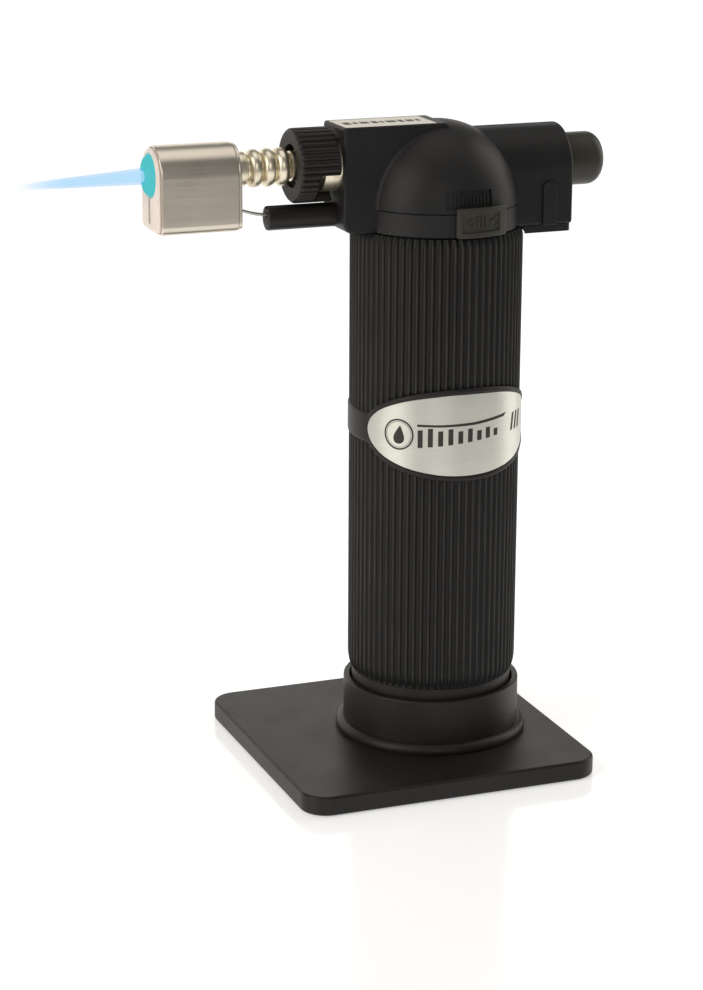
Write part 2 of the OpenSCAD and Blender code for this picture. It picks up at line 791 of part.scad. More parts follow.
module head_ring() {
  slot_a0 = slider_mid_angle - 5 - lock_travel - 1.5;
  slot_a1 = slider_mid_angle + 5 + 1.5;
  color(soft_black) difference() {
    union() {
      pipe(head_bottom_z, split_z - seam, head_r, ring_inner_r);
      pipe(head_bottom_z - 7, head_bottom_z + 1, sleeve_inner_r - 0.15, ring_inner_r - 1.8);
    }
    pipe(head_bottom_z, head_bottom_z + 2, ring_inner_r, 1);
    block([-40, -block_half_w - seam, head_bottom_z], [0, block_half_w + seam, 180]);
    block([0, -rear_half_w - seam, head_bottom_z - 0.2], [40, rear_half_w + seam, 180]);
    arc_wall(ring_inner_r - 3, head_r + 1, slot_a0, slot_a1, 167.6, 170.4);
  }
}

module rear_bottom_cover() {
  color(soft_black) difference() {
    translate([0, 0, rear_bottom_z - seam - 2.2]) linear_extrude(2.2)
      translate([rear_back_x - 10.2, 0]) round_rectangle(20, 24, 1.5);
    translate([0, 0, 155]) cylinder(r = grip_r + 0.35, h = 15);
  }
}

module rear_pad() {
  color(olive) along_x(rear_back_x + 0.05, rear_back_x + 1.2)
    translate([0, rear_bottom_z + 4.4]) round_rectangle(16, 8.6, 1);
}

module top_label() {
  color([0.9, 0.88, 0.83])
    block([label_x0, -label_half_w, block_top_z - label_t], [label_x1, label_half_w, block_top_z - 0.05]);
}

module housing_screws() {
  color(steel) for (i = [0 : 2]) {
    x = screw_places[i][0];
    z = screw_places[i][1];
    seat_y = screw_seat_y[i];
    difference() {
      union() {
        rod_y(seat_y + 0.05, seat_y + 1.6, screw_head_r, x, z);
        rod_y(-seat_y + 3.2, seat_y + 0.1, screw_shaft_r, x, z);
      }
      block([x - 2, seat_y + 1.1, z - 0.3], [x + 2, seat_y + 2, z + 0.3]);
      block([x - 0.3, seat_y + 1.1, z - 2], [x + 0.3, seat_y + 2, z + 2]);
    }
  }
}

stand_plate();
stand_collar();
tank_foot();
fuel_tank();
tank_cap();
grip_sleeve();
badge_plate();
fill_valve_body();
fill_valve_stem();
fill_valve_spring();
fill_valve_seal();
gas_valve_body();
gas_valve_stem();
gas_valve_spring();
gas_valve_seal();
fuel_filter();
valve_lever();
lever_pin();
gas_tube();
gas_jet();
burner_block();
air_ring();
burner_tube();
flame_holder();
nozzle_shield();
shield_flange();
ceramic_insert();
electrode_holder();
electrode_wire();
ignition_lead();
piezo_body();
piezo_plunger();
button_spring();
ignition_button();
lock_slider();
head_ring();
head_shell_left();
head_shell_right();
rear_bottom_cover();
rear_pad();
top_label();
housing_screws();
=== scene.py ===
import bmesh
import bpy
import math
from mathutils import Matrix, Vector
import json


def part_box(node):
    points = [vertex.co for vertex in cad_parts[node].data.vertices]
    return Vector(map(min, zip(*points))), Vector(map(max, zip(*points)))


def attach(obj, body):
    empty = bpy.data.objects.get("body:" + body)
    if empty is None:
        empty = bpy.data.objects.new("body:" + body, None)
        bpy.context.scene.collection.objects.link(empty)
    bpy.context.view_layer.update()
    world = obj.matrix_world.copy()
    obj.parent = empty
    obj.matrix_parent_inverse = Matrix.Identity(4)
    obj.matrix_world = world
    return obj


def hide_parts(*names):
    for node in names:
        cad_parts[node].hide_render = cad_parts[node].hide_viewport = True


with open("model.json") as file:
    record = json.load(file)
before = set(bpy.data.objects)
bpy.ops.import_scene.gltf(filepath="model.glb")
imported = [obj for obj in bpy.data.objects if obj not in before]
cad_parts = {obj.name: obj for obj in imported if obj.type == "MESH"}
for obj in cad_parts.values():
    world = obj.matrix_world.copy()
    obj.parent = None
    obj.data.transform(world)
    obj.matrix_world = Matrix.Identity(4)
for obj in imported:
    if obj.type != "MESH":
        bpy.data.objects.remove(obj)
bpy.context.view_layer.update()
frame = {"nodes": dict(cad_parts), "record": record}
perMetre = 1000  # shapes are built in millimetres and made metres when they are finished

record = frame["record"]
bodyOf = {node: body for body, nodes in record["behaviour"]["bodies"].items() for node in nodes}
slotOf = {part["node"]: part["material_slot"] for part in record["subparts"]}
print("stage: frame loaded,", len(bodyOf), "nodes")


def boxOf(node):
    low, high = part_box(node)
    return low * perMetre, high * perMetre


# Shader values and materials


def tint(red, green, blue):
    # a display colour from 0 to 255 as the linear colour that shaders take
    channels = [c / 255 for c in (red, green, blue)]
    return (*[c / 12.92 if c <= 0.04 else ((c + 0.055) / 1.055) ** 2.4 for c in channels], 1)


class Signal:
    # one socket, so that shader maths reads as an expression
    def __init__(self, paint, socket):
        self.paint = paint
        self.socket = socket

    def __add__(self, other):
        return self.paint.maths("ADD", self, other)

    def __radd__(self, other):
        return self.paint.maths("ADD", other, self)

    def __sub__(self, other):
        return self.paint.maths("SUBTRACT", self, other)

    def __rsub__(self, other):
        return self.paint.maths("SUBTRACT", other, self)

    def __mul__(self, other):
        return self.paint.maths("MULTIPLY", self, other)

    def __rmul__(self, other):
        return self.paint.maths("MULTIPLY", other, self)


class Paint:
    # a material round one Principled shader, with places measured in millimetres
    def __init__(self, name, **fixed):
        self.material = bpy.data.materials.new(name)
        self.material.use_nodes = True
        self.tree = self.material.node_tree
        self.tree.nodes.clear()
        self.output = self.tree.nodes.new("ShaderNodeOutputMaterial")
        self.shader = self.tree.nodes.new("ShaderNodeBsdfPrincipled")
        self.tree.links.new(self.shader.outputs["BSDF"], self.output.inputs["Surface"])
        for key, value in fixed.items():
            self.shader.inputs[key.replace("_", " ")].default_value = value
        spot = self.node("ShaderNodeTexCoord", output="Object")
        self.place = self.node("ShaderNodeVectorMath", {"operation": "SCALE"},
                               {"Vector": spot, "Scale": perMetre})

    def node(self, kind, settings=None, sockets=None, output=None):
        made = self.tree.nodes.new(kind)
        for key, value in (settings or {}).items():
            setattr(made, key, value)
        for key, value in (sockets or {}).items():
            self.feed(made, key, value)
        outputs = [s for s in made.outputs if s.enabled and output in (None, s.name)]
        return Signal(self, outputs[0])

    def feed(self, node, key, value):
        socket = next(s for s in node.inputs if s.enabled and key in (s.name, s.identifier))
        if isinstance(value, Signal):
            self.tree.links.new(value.socket, socket)
        else:
            socket.default_value = value

    def maths(self, operation, first, second):
        return self.node("ShaderNodeMath", {"operation": operation}, {"Value": first, "Value_001": second})

    def noise(self, scale, detail=2, stretch=(1, 1, 1)):
        # stretch multiplies the place before the noise is read
        place = self.node("ShaderNodeVectorMath", {"operation": "MULTIPLY"},
                          {"Vector": self.place, "Vector_001": stretch})
        return self.node("ShaderNodeTexNoise", {}, {"Vector": place, "Scale": scale, "Detail": detail})

    def ease(self, value, start, end):
        # 0 before start, 1 after end, smooth between
        return self.node("ShaderNodeMapRange", {"interpolation_type": "SMOOTHSTEP"},
                         {"Value": value, "From Min": start, "From Max": end})

    def blend(self, factor, first, second):
        return self.node("ShaderNodeMix", {"data_type": "RGBA"},
                         {"Factor": factor, "A": first, "B": second})

    def bump(self, height, depth, strength=1.0):
        return self.node("ShaderNodeBump", {}, {"Height": height, "Distance": depth / perMetre,
                                                "Strength": strength})

    def axis(self, letter):
        return self.node("ShaderNodeSeparateXYZ", {}, {"Vector": self.place}, output=letter)

    def fromAxis(self):
        # distance from the tank's axis
        flat = self.node("ShaderNodeVectorMath", {"operation": "MULTIPLY"},
                         {"Vector": self.place, "Vector_001": (1, 1, 0)})
        return self.node("ShaderNodeVectorMath", {"operation": "LENGTH"}, {"Vector": flat}, output="Value")

    def wear(self, **inputs):
        for key, value in inputs.items():
            self.feed(self.shader, key.replace("_", " "), value)


plasticGloss = 0.3


def mouldedPlastic(name, colour, fleck, roughness, depth=0.012, grain=2.6):
    paint = Paint(name, Specular_IOR_Level=plasticGloss)
    cloud = paint.noise(0.07, 3)
    speckle = paint.noise(grain, 3)
    paint.wear(Base_Color=paint.blend(paint.ease(0.6 * cloud + 0.4 * speckle, 0.3, 0.72), colour, fleck),
               Roughness=roughness + 0.16 * (cloud - 0.5) - 0.1 * (speckle - 0.5),
               Normal=paint.bump(speckle, depth))
    return paint


def ribbedPlasticShadedGrooves(name, look):
    # as moulded plastic, with crests that hands have rubbed paler and grooves painted darker as painted
    # shade
    paint = Paint(name, Specular_IOR_Level=plasticGloss)
    radius = paint.fromAxis()
    cloud = paint.noise(0.09, 3)
    speckle = paint.noise(3, 3)
    scuffs = paint.noise(0.9, 4, (1, 1, 0.12))
    crest = paint.ease(radius, look["grooveRadius"] + 0.3, look["crestRadius"])
    rubbed = crest * paint.ease(0.55 * scuffs + 0.45 * cloud, 0.32, 0.66)
    # painted shade: the grooves take the darker groove colour, the crests the paler crest colour
    base = paint.blend(crest, look["groove"], look["crest"])
    paint.wear(Base_Color=paint.blend(0.7 * rubbed, base, look["rubbed"]),
               Roughness=look["roughness"] + 0.14 * (speckle - 0.5) - 0.08 * rubbed,
               Normal=paint.bump(speckle, 0.01))
    return paint


def brushedMetal(name, colour, shade, roughness, stretch, depth=0.004):
    # fine scratches, long where the stretch is small
    paint = Paint(name, Metallic=1)
    lines = paint.noise(1, 4, stretch)
    cloud = paint.noise(0.12, 2)
    paint.wear(Base_Color=paint.blend(paint.ease(0.7 * lines + 0.3 * cloud, 0.3, 0.7), shade, colour),
               Roughness=roughness + 0.2 * (lines - 0.5) + 0.1 * (cloud - 0.5),
               Normal=paint.bump(lines, depth))
    return paint


def turnedMetal(name, colour, shade, roughness):
    # machined or drawn metal with faint tarnish
    paint = Paint(name, Metallic=1)
    marks = paint.noise(3.4, 3)
    tarnish = paint.ease(paint.noise(0.35, 4), 0.42, 0.75)
    paint.wear(Base_Color=paint.blend(tarnish, colour, shade),
               Roughness=roughness + 0.12 * (marks - 0.5) + 0.12 * tarnish,
               Normal=paint.bump(marks, 0.003))
    return paint


def softPaint(name, colour, shade, roughness, grain, depth):
    # unglazed, felted or rubbery surfaces
    paint = Paint(name, Specular_IOR_Level=0.35)
    grit = paint.noise(grain, 4)
    cloud = paint.noise(0.2, 3)
    paint.wear(Base_Color=paint.blend(paint.ease(0.5 * grit + 0.5 * cloud, 0.3, 0.7), shade, colour),
               Roughness=roughness + 0.15 * (grit - 0.5),
               Normal=paint.bump(grit, depth))
    return paint


# span along X where the knob's end face takes its painted highlight
paintedLightFaceSpan = (-46.65, -46.4)


def knobPlasticLitFace(name, colour, fleck, front):
    # moulded plastic whose end face, toward the nozzle, is painted paler as a painted highlight for the
    # light that falls on it
    paint = mouldedPlastic(name, colour, fleck, 0.42, 0.006, 4)
    dull = paint.blend(paint.noise(1.4, 3), colour, fleck)
    # painted highlight: the end face takes the paler front colour
    paint.wear(Base_Color=paint.blend(paint.ease(paint.axis("X"), *paintedLightFaceSpan), front, dull))
    return paint


# groove is a painted shade colour for the rib grooves; rubbed is the crests' wear
ribLook = {"crestRadius": 26.0, "grooveRadius": 25.3, "roughness": 0.5, "groove": tint(20, 19, 18),
           "crest": tint(35, 33, 31), "rubbed": tint(54, 50, 46)}
paints = {
    "stand_plastic": mouldedPlastic("standPlastic", tint(27, 24, 22), tint(36, 32, 29), 0.44),
    "grip_plastic": mouldedPlastic("gripPlastic", tint(29, 27, 26), tint(38, 35, 33), 0.48),
    "head_plastic": mouldedPlastic("headPlastic", tint(25, 24, 24), tint(34, 33, 33), 0.48),
    "control_plastic": mouldedPlastic("controlPlastic", tint(52, 51, 44), tint(65, 64, 55), 0.42),
    "badge_aluminium": brushedMetal("badgeAluminium", tint(217, 217, 207), tint(197, 198, 188), 0.36,
                                    (0.05, 0.05, 14)),
    "label_film": softPaint("labelFilm", tint(242, 238, 226), tint(230, 225, 211), 0.5, 1.6, 0.003),
    "stainless": brushedMetal("stainless", tint(232, 222, 207), tint(226, 216, 201), 0.33, (0.04, 4, 4),
                              0.0005),
    "spring_steel": turnedMetal("springSteel", tint(205, 204, 202), tint(150, 148, 144), 0.3),
    "ceramic": softPaint("ceramic", tint(248, 236, 227), tint(236, 219, 207), 0.6, 2.4, 0.015),
    "pale_brass": turnedMetal("paleBrass", tint(240, 231, 208), tint(220, 207, 178), 0.32),
    "valve_brass": turnedMetal("valveBrass", tint(226, 200, 140), tint(176, 142, 84), 0.28),
    "black_anodised": mouldedPlastic("blackAnodised", tint(27, 25, 24), tint(37, 35, 32), 0.42, 0.006, 4),
    "inner_plastic": mouldedPlastic("innerPlastic", tint(172, 172, 164), tint(186, 185, 176), 0.45),
    "seal_rubber": softPaint("sealRubber", tint(46, 46, 46), tint(34, 34, 34), 0.8, 2, 0.01),
    "copper_pipe": turnedMetal("copperPipe", tint(222, 176, 148), tint(160, 104, 78), 0.3),
    "lead_insulation": softPaint("leadInsulation", tint(170, 52, 46), tint(150, 42, 38), 0.35, 1.2, 0.003),
    "felt": softPaint("felt", tint(230, 227, 216), tint(206, 202, 188), 0.95, 5, 0.05),
}
ribShadedGroovePaint = ribbedPlasticShadedGrooves("ribbedPlasticShadedGrooves", ribLook)
# the last colour is the painted highlight on the knob's end face
knobLitFacePaint = knobPlasticLitFace("knobPlasticLitFace", tint(27, 25, 24), tint(37, 35, 32), tint(50, 46, 42))
printPaint = softPaint("printedInk", tint(58, 56, 50), tint(48, 46, 41), 0.55, 2, 0.002)
print("stage: materials made,", len(paints) + 3)


# Shapes


def roundOff(corners, steps=6):
    # corners are (x, y, radius); returns the outline with each corner as an arc
    outline = []
    for i, (x, y, radius) in enumerate(corners):
        here = Vector((x, y))
        if radius == 0:
            outline.append(here)
            continue
        back = (Vector(corners[i - 1][:2]) - here).normalized()
        ahead = (Vector(corners[(i + 1) % len(corners)][:2]) - here).normalized()
        half = back.angle(ahead) / 2
        centre = here + (back + ahead).normalized() * radius / math.sin(half)
        start = here + back * radius / math.tan(half) - centre
        end = here + ahead * radius / math.tan(half) - centre
        sweep = math.pi - 2 * half
        for k in range(steps + 1):
            t = k / steps
            outline.append(centre + (start * math.sin((1 - t) * sweep) + end * math.sin(t * sweep))
                           / math.sin(sweep))
    return outline


def rounded(low, high, radius, steps=6):
    # a rectangle's outline with round corners
    return roundOff([(low[0], low[1], radius), (high[0], low[1], radius),
                     (high[0], high[1], radius), (low[0], high[1], radius)], steps)


def arc(x, y, radius, start, end, steps):
    # points on a circle, angles in degrees
    turns = [math.radians(start + (end - start) * k / steps) for k in range(steps + 1)]
    return [(x + radius * math.cos(turn), y + radius * math.sin(turn)) for turn in turns]


def shapeFrom(points, faces):
    mesh = bpy.data.meshes.new("shape")
    mesh.from_pydata([tuple(p) for p in points], [], faces)
    work = bmesh.new()
    work.from_mesh(mesh)
    bmesh.ops.remove_doubles(work, verts=work.verts, dist=0.001)
    bmesh.ops.dissolve_degenerate(work, edges=work.edges, dist=0.001)
    bmesh.ops.recalc_face_normals(work, faces=work.faces)
    work.to_mesh(mesh)
    work.free()
    shape = bpy.data.objects.new("shape", mesh)
    bpy.context.collection.objects.link(shape)
    return shape


def loft(rings, closed=True):
    # joins rings of equally many points; closed joins the last ring to the first, open caps both ends
    count = len(rings[0])
    points = [p for ring in rings for p in ring]
    faces = []
    for i in range(len(rings) if closed else len(rings) - 1):
        a, b = i * count, (i + 1) % len(rings) * count
        faces += [(a + j, a + (j + 1) % count, b + (j + 1) % count, b + j) for j in range(count)]
    if not closed:
        faces += [tuple(range(count)), tuple(range(len(points) - count, len(points)))]
    return shapeFrom(points, faces)


def turned(outline, centre=(0, 0, 0), along="z", steps=128):
    # turns a closed outline of (radius, distance) round an axis
    spin = {"z": lambda c, s, d: (c, s, d), "x": lambda c, s, d: (d, c, s),
            "y": lambda c, s, d: (s, d, c)}[along]
    circle = [(math.cos(2 * math.pi * k / steps), math.sin(2 * math.pi * k / steps)) for k in range(steps)]
    return loft([[Vector(centre) + Vector(spin(radius * c, radius * s, distance)) for c, s in circle]
                 for radius, distance in outline])


def prism(outline, low, high, across="z"):
    # an outline pushed straight from low to high along one axis
    place = {"z": lambda a, b, c: (a, b, c), "y": lambda a, b, c: (a, c, b),
             "x": lambda a, b, c: (c, a, b)}[across]
    return loft([[place(a, b, c) for a, b in outline] for c in (low, high)], closed=False)


def box(low, high):
    return prism([(low[0], low[1]), (high[0], low[1]), (high[0], high[1]), (low[0], high[1])], low[2],
                 high[2])


def rod(start, end, radius, along="x", centre=(0, 0), steps=64):
    # centre is the place on the two other axes, in their order
    a, b = centre
    middle = {"x": (0, a, b), "y": (a, 0, b), "z": (a, b, 0)}[along]
    return turned([(0, start), (radius, start), (radius, end), (0, end)], middle, along, steps)


def applied(shape):
    # makes the shape's modifiers real
    mesh = bpy.data.meshes.new_from_object(shape.evaluated_get(bpy.context.evaluated_depsgraph_get()))
    shape.modifiers.clear()
    shape.data = mesh
    return shape


def soften(shape, width, segments=3, angle=30):
    edge = shape.modifiers.new("edge", "BEVEL")
    edge.width = width
    edge.segments = segments
    edge.limit_method = "ANGLE"
    edge.angle_limit = math.radians(angle)
    return applied(shape)


def combine(shape, operation, others):
    for other in others:
        cut = shape.modifiers.new("cut", "BOOLEAN")
        cut.operation = operation
        cut.solver = "EXACT"
        cut.object = other
        applied(shape)
        bpy.data.objects.remove(other)
    return shape


def carve(shape, *others):
    return combine(shape, "DIFFERENCE", others)


def fuse(shape, *others):
    return combine(shape, "UNION", others)


def copyOf(shape):
    twin = bpy.data.objects.new("shape", shape.data.copy())
    bpy.context.collection.objects.link(twin)
    return twin


def joined(shapes):
    # several shapes that don't touch, as one
    work = bmesh.new()
    for shape in shapes:
        work.from_mesh(shape.data)
        bpy.data.objects.remove(shape)
    mesh = bpy.data.meshes.new("shape")
    work.to_mesh(mesh)
    work.free()
    whole = bpy.data.objects.new("shape", mesh)
    bpy.context.collection.objects.link(whole)
    return whole


def wrapRound(shape, radius, middle, step=0.8):
    # bends a flat shape (x along the arc, y outward, z up) round the tank's axis; middle: degrees from -Y
    work = bmesh.new()
    work.from_mesh(shape.data)
    low = min(v.co.x for v in work.verts)
    high = max(v.co.x for v in work.verts)
    for k in range(1, int((high - low) / step) + 1):
        bmesh.ops.bisect_plane(work, geom=work.verts[:] + work.edges[:] + work.faces[:],
                               plane_co=(low + k * step, 0, 0), plane_no=(1, 0, 0))
    for vertex in work.verts:
        along, out, up = vertex.co
        turn = math.radians(middle) + along / radius
        vertex.co = ((radius + out) * math.sin(turn), -(radius + out) * math.cos(turn), up)
    bmesh.ops.recalc_face_normals(work, faces=work.faces)
    work.to_mesh(shape.data)
    work.free()
    return shape


def sweep(route, radius, sides=12, steps=6):
    # a round wire through the route's points
    spots = [Vector(p) for p in route]
    path = []
    for i in range(len(spots) - 1):
        a, b, c, d = spots[max(i - 1, 0)], spots[i], spots[i + 1], spots[min(i + 2, len(spots) - 1)]
        for k in range(steps):
            t = k / steps
            path.append(0.5 * (2 * b + (c - a) * t + (2 * a - 5 * b + 4 * c - d) * t ** 2
                               + (3 * b - a - 3 * c + d) * t ** 3))
    path.append(spots[-1])
    rings = []
    for i, spot in enumerate(path):
        ahead = (path[min(i + 1, len(path) - 1)] - path[max(i - 1, 0)]).normalized()
        side = Vector((0, 1, 0)).cross(ahead).normalized()
        other = ahead.cross(side)
        turns = [2 * math.pi * k / sides for k in range(sides)]
        rings.append([spot + radius * (math.cos(turn) * side + math.sin(turn) * other) for turn in turns])
    return loft(rings, closed=False)


def finished(shape, name, nodes, paint=None, crease=30, ride=None):
    # turns a shape into a piece that stands for the named nodes, or rides on a node's body
    shape.data.transform(Matrix.Scale(1 / perMetre, 4))
    shape.name = name
    shape.data.name = name
    leader = nodes[0] if nodes else ride
    shape.data.materials.clear()
    shape.data.materials.append((paint or paints[slotOf[leader]]).material)
    shape.data.shade_smooth()
    shape.data.set_sharp_from_angle(angle=math.radians(crease))
    shape.modifiers.new("normals", "WEIGHTED_NORMAL").keep_sharp = True
    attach(shape, bodyOf[leader])
    if nodes:
        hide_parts(*nodes)
    return shape


# Stand

stand = {"corner": 8, "edge": 0.8, "bead": 2.2, "beadLift": 1, "rimEdge": 0.5, "socketFloor": 3.3,
         "socketRadius": 25.25, "collarRadius": 27.3, "accessRadius": 10}


def makeStand():
    low, high = boxOf("stand_plate")
    rim = boxOf("stand_collar")[1].z
    corner, edge, wall = stand["corner"], stand["rimEdge"], stand["collarRadius"]
    plate = prism(rounded(low, high, corner, 10), low.z, high.z)
    soften(plate, stand["edge"], 4)
    bead = arc(wall + 0.2, high.z + stand["beadLift"], stand["bead"], -40, 95, 14)
    collar = turned([(0, 2), (bead[0][0], 2), *bead, (wall, rim - edge),
                     *arc(wall - edge, rim - edge, edge, 0, 90, 4), (0, rim)], steps=160)
    inner = stand["socketRadius"]
    socket = turned([(0, -1), (stand["accessRadius"], -1),
                     (stand["accessRadius"], stand["socketFloor"] - 0.3),
                     (stand["accessRadius"] + 0.3, stand["socketFloor"]), (inner, stand["socketFloor"]),
                     *arc(inner + edge, rim - edge, edge, 180, 90, 4), (inner + edge, rim + 1),
                     (0, rim + 1)], steps=160)
    fuse(plate, collar)
    carve(plate, socket)
    finished(plate, "standBody", ["stand_plate", "stand_collar"])


makeStand()
print("stage: stand made")


# Grip

grip = {"ribs": 72, "depth": 0.7, "innerRadius": 22.85, "crestHalf": 0.27, "shoulder": 5, "topTaper": 3}
badge = {"middle": 106.3, "halfHeight": 12.5, "halfAngle": 71, "bezel": 1.7, "bezelAngle": 3,
         "beltHalf": 4.5, "beltRise": 0.35, "bezelRise": 0.8, "plateRise": 0.62}


def makeFoot():
    low, high = boxOf("tank_foot")
    outer, inner, edge = high.x, high.x - 2, 0.5
    finished(turned([(6.6, low.z), (outer - edge, low.z), (outer, low.z + edge), (outer, high.z - 0.2),
                     (outer - 0.2, high.z), (inner, high.z), (inner, low.z + 3), (6.6, low.z + 3)]),
             "tankFoot", ["tank_foot"])


def makeRibs():
    low, high = boxOf("grip_sleeve")
    crestRadius = ribLook["crestRadius"]
    phases = [-0.5, -0.32, -0.25, -0.2, -0.14, -0.07, 0, 0.07, 0.14, 0.2, 0.25, 0.32]

    def columns(z, radius, depth):
        ring = []
        for i in range(grip["ribs"]):
            for phase in phases:
                bump = math.cos(min(abs(phase) / grip["crestHalf"], 1) * math.pi / 2) ** 0.65
                turn = 2 * math.pi * (i + phase) / grip["ribs"]
                here = radius - depth * (1 - bump)
                ring.append((here * math.cos(turn), here * math.sin(turn), z))
        return ring

    def eased(height, span):
        # how far the crest draws in below its full radius near an end
        t = max(0, 1 - height / span)
        return 0.95 * t ** 2.2

    heights = [0.0, 0.15, 0.4, 0.8, 1.4, 2.2, 3.2, 4.2, 5]
    rings = [columns(low.z, grip["innerRadius"], 0), columns(low.z, crestRadius - 1.3, 0.1)]
    rings += [columns(low.z + h, crestRadius - eased(h, grip["shoulder"]), min(grip["depth"], 0.25 + h))
              for h in heights]
    rings += [columns(high.z - h * 0.6, crestRadius - eased(h * 0.6, grip["topTaper"]), grip["depth"])
              for h in reversed(heights)]
    rings += [columns(high.z, crestRadius - 1.5, 0.1), columns(high.z, grip["innerRadius"], 0)]
    finished(loft(rings), "gripRibs", ["grip_sleeve"], ribShadedGroovePaint, crease=50)


def ovalHeight(turn, halfAngle, halfHeight):
    return halfHeight * math.sqrt(max(0, 1 - (turn / halfAngle) ** 2))


def makeBand():
    # the belt round the grip, which swells into the badge's oval bezel
    base = ribLook["crestRadius"] - 1
    middle = badge["middle"]
    rows = []
    columns = 360
    for k in range(columns):
        turn = -180 + 360 * k / columns
        oval = ovalHeight(turn, badge["halfAngle"] + badge["bezelAngle"],
                          badge["halfHeight"] + badge["bezel"])
        belt = badge["beltHalf"]
        outer = (oval + belt + math.hypot(oval - belt, 1.1)) / 2
        swell = min(1, max(0, (oval - belt + 1) / 4))
        smooth = (badge["bezelRise"] - badge["beltRise"]) * swell ** 2 * (3 - 2 * swell)
        crown = ribLook["crestRadius"] + badge["beltRise"] + smooth
        inner = ovalHeight(turn, badge["halfAngle"] + 0.3, badge["halfHeight"] + 0.15)
        lip = min(1, inner / 1.5)
        side = [(outer, base), (outer, crown - 0.65), (outer - 0.1, crown - 0.3),
                (outer - 0.35, crown - 0.08),
                (outer - 0.75, crown), (inner + 0.5 * lip, crown), (inner + 0.2 * lip, crown - 0.06 * lip),
                (inner, crown - 0.2 * lip), (inner, crown - 0.62 * lip), (inner * 0.5, crown - 0.62 * lip)]
        profile = side + [(-up, radius) for up, radius in reversed(side)]
        angle = math.radians(turn)
        rows.append([(radius * math.sin(angle), -radius * math.cos(angle), middle + up)
                     for up, radius in profile])
    finished(loft(rows), "gripBand", [], ride="grip_sleeve", crease=40)


def makeBadge():
    # a thin oval plate bent round the grip
    base = ribLook["crestRadius"] + 0.2
    face = ribLook["crestRadius"] + badge["plateRise"]
    rows = []
    steps = 96
    for k in range(steps + 1):
        sway = math.pi * k / steps
        turn = -math.radians(badge["halfAngle"]) * math.cos(sway)
        half = badge["halfHeight"] * math.sin(sway)
        edge = min(0.12, half / 2)
        profile = [(half, base), (half, face - 0.1), (half - edge, face), (half * 0.6, face),
                   (half * 0.2, face)]
        profile += [(-up, radius) for up, radius in reversed(profile)]
        rows.append([(radius * math.sin(turn), -radius * math.cos(turn), badge["middle"] + up)
                     for up, radius in profile])
    finished(loft(rows, closed=False), "badgePlate", ["badge_plate"], crease=40)


marks = {"lift": 0.05, "emblemAngle": -46, "emblemRadius": 4.75, "emblemLine": 0.5, "stripeAngle": 44}


def flat(outline, thick=0.05):
    return prism(outline, 0, thick, across="y")


def ringShape(radius, line, steps=48):
    return turned([(radius - line, 0), (radius, 0), (radius, marks["lift"]),
                   (radius - line, marks["lift"])],
                  along="y", steps=steps)


def flameOutline(height, lean):
    # a drop with its point up, leaning a little
    points = []
    for k in range(40):
        turn = 2 * math.pi * k / 40
        wide = 0.42 * height * math.sin(turn) * (0.5 - 0.5 * math.cos(turn)) ** 0.7
        up = -0.5 * height * math.cos(turn)
        points.append((wide + lean * (0.5 - up / height) ** 2, -up))
    return points


def makeBadgeMarks():
    # a generic flame in a ring, a row of bars under a tapered streak, and three slanted stripes
    face = ribLook["crestRadius"] + badge["plateRise"]
    middle = badge["middle"]
    arcPerDegree = face * math.pi / 180
    emblem = joined([ringShape(marks["emblemRadius"], marks["emblemLine"]),
                     ringShape(marks["emblemRadius"] - 0.75, 0.12), flat(flameOutline(5.8, 0.5))])
    emblem.data.transform(Matrix.Translation((marks["emblemAngle"] * arcPerDegree, 0, middle)))
    bars = []
    for i in range(9):
        left = -15.4 + i * 3.05
        high = 1.7 - 0.1 * i + 0.7 * (i % 2)
        low = -3.7 + 0.3 * i
        bars.append(flat([(left, low), (left + 1.5, low + 0.1), (left + 1.5, high + 0.1), (left, high)]))
        bars[-1].data.transform(Matrix.Translation((0, 0, middle)))
    streak = flat([(-15.6, 2.6), (-8, 2.55), (2, 2.95), (14.4, 4.1), (13.2, 3.1), (2, 2.1), (-8, 1.85),
                   (-15.6, 1.9)])
    streak.data.transform(Matrix.Translation((0, 0, middle + 0.9)))
    stripes = []
    for i in range(3):
        left = marks["stripeAngle"] * arcPerDegree - 3.4 + i * 2.3
        stripes.append(flat([(left, -1.9), (left + 1.1, -1.8), (left + 2.1, 3.6), (left + 1, 3.5)]))
        stripes[-1].data.transform(Matrix.Translation((0, 0, middle + 0.6)))
    whole = wrapRound(joined([emblem, *bars, streak, *stripes]), face, 0)
    finished(whole, "badgeMarks", [], printPaint, ride="badge_plate")


makeFoot()
makeRibs()
makeBand()
makeBadge()
makeBadgeMarks()
print("stage: grip made")


# Head

head = {"domeRadius": 24.4, "split": 172.3, "wall": 2, "blockHalf": 8.8, "blockFront": -33,
        "blockBottom": 165.3,
        "blockCorner": 3.4, "edge": 0.9, "rearHalf": 12.6, "rearBack": 39, "rearBottom": 165.1,
        "rearAxis": 181.3,
        "ribX": 31.2, "ribHalf": 2.3, "ribTop": 178.3, "ribRise": 0.8, "fillet": 1.3, "ringInner": 22.5,
        "labelRecess": 0.5, "panel": (0.5, 176.3), "panelSize": (14.6, 5.2), "panelDepth": 0.45,
        # start, end, radius and height of the holes for the jet, the lead and the button, and their facets
        "bores": ((-34, -25, 6.1, 185.2, 64), (-34, -25, 2.55, 170.2, 32), (33, 40, 8.15, 182.5, 64)),
        "screws": ((-27, 175.65, 6.4), (2, 192, 10.9), (24.6, 171, 10.2)), "screwRadius": 2.15,
        "bossRadius": 2.8}


def dome(inset, steps=160):
    radius, split = head["domeRadius"] - inset, head["split"]
    bottom = split - (1 if inset else 0)
    return turned([(0, bottom), (radius - 0.2, bottom), (radius, bottom + 0.2),
                   *arc(0, split, radius, 2, 88, steps // 4), (0, split + radius)], steps=steps)


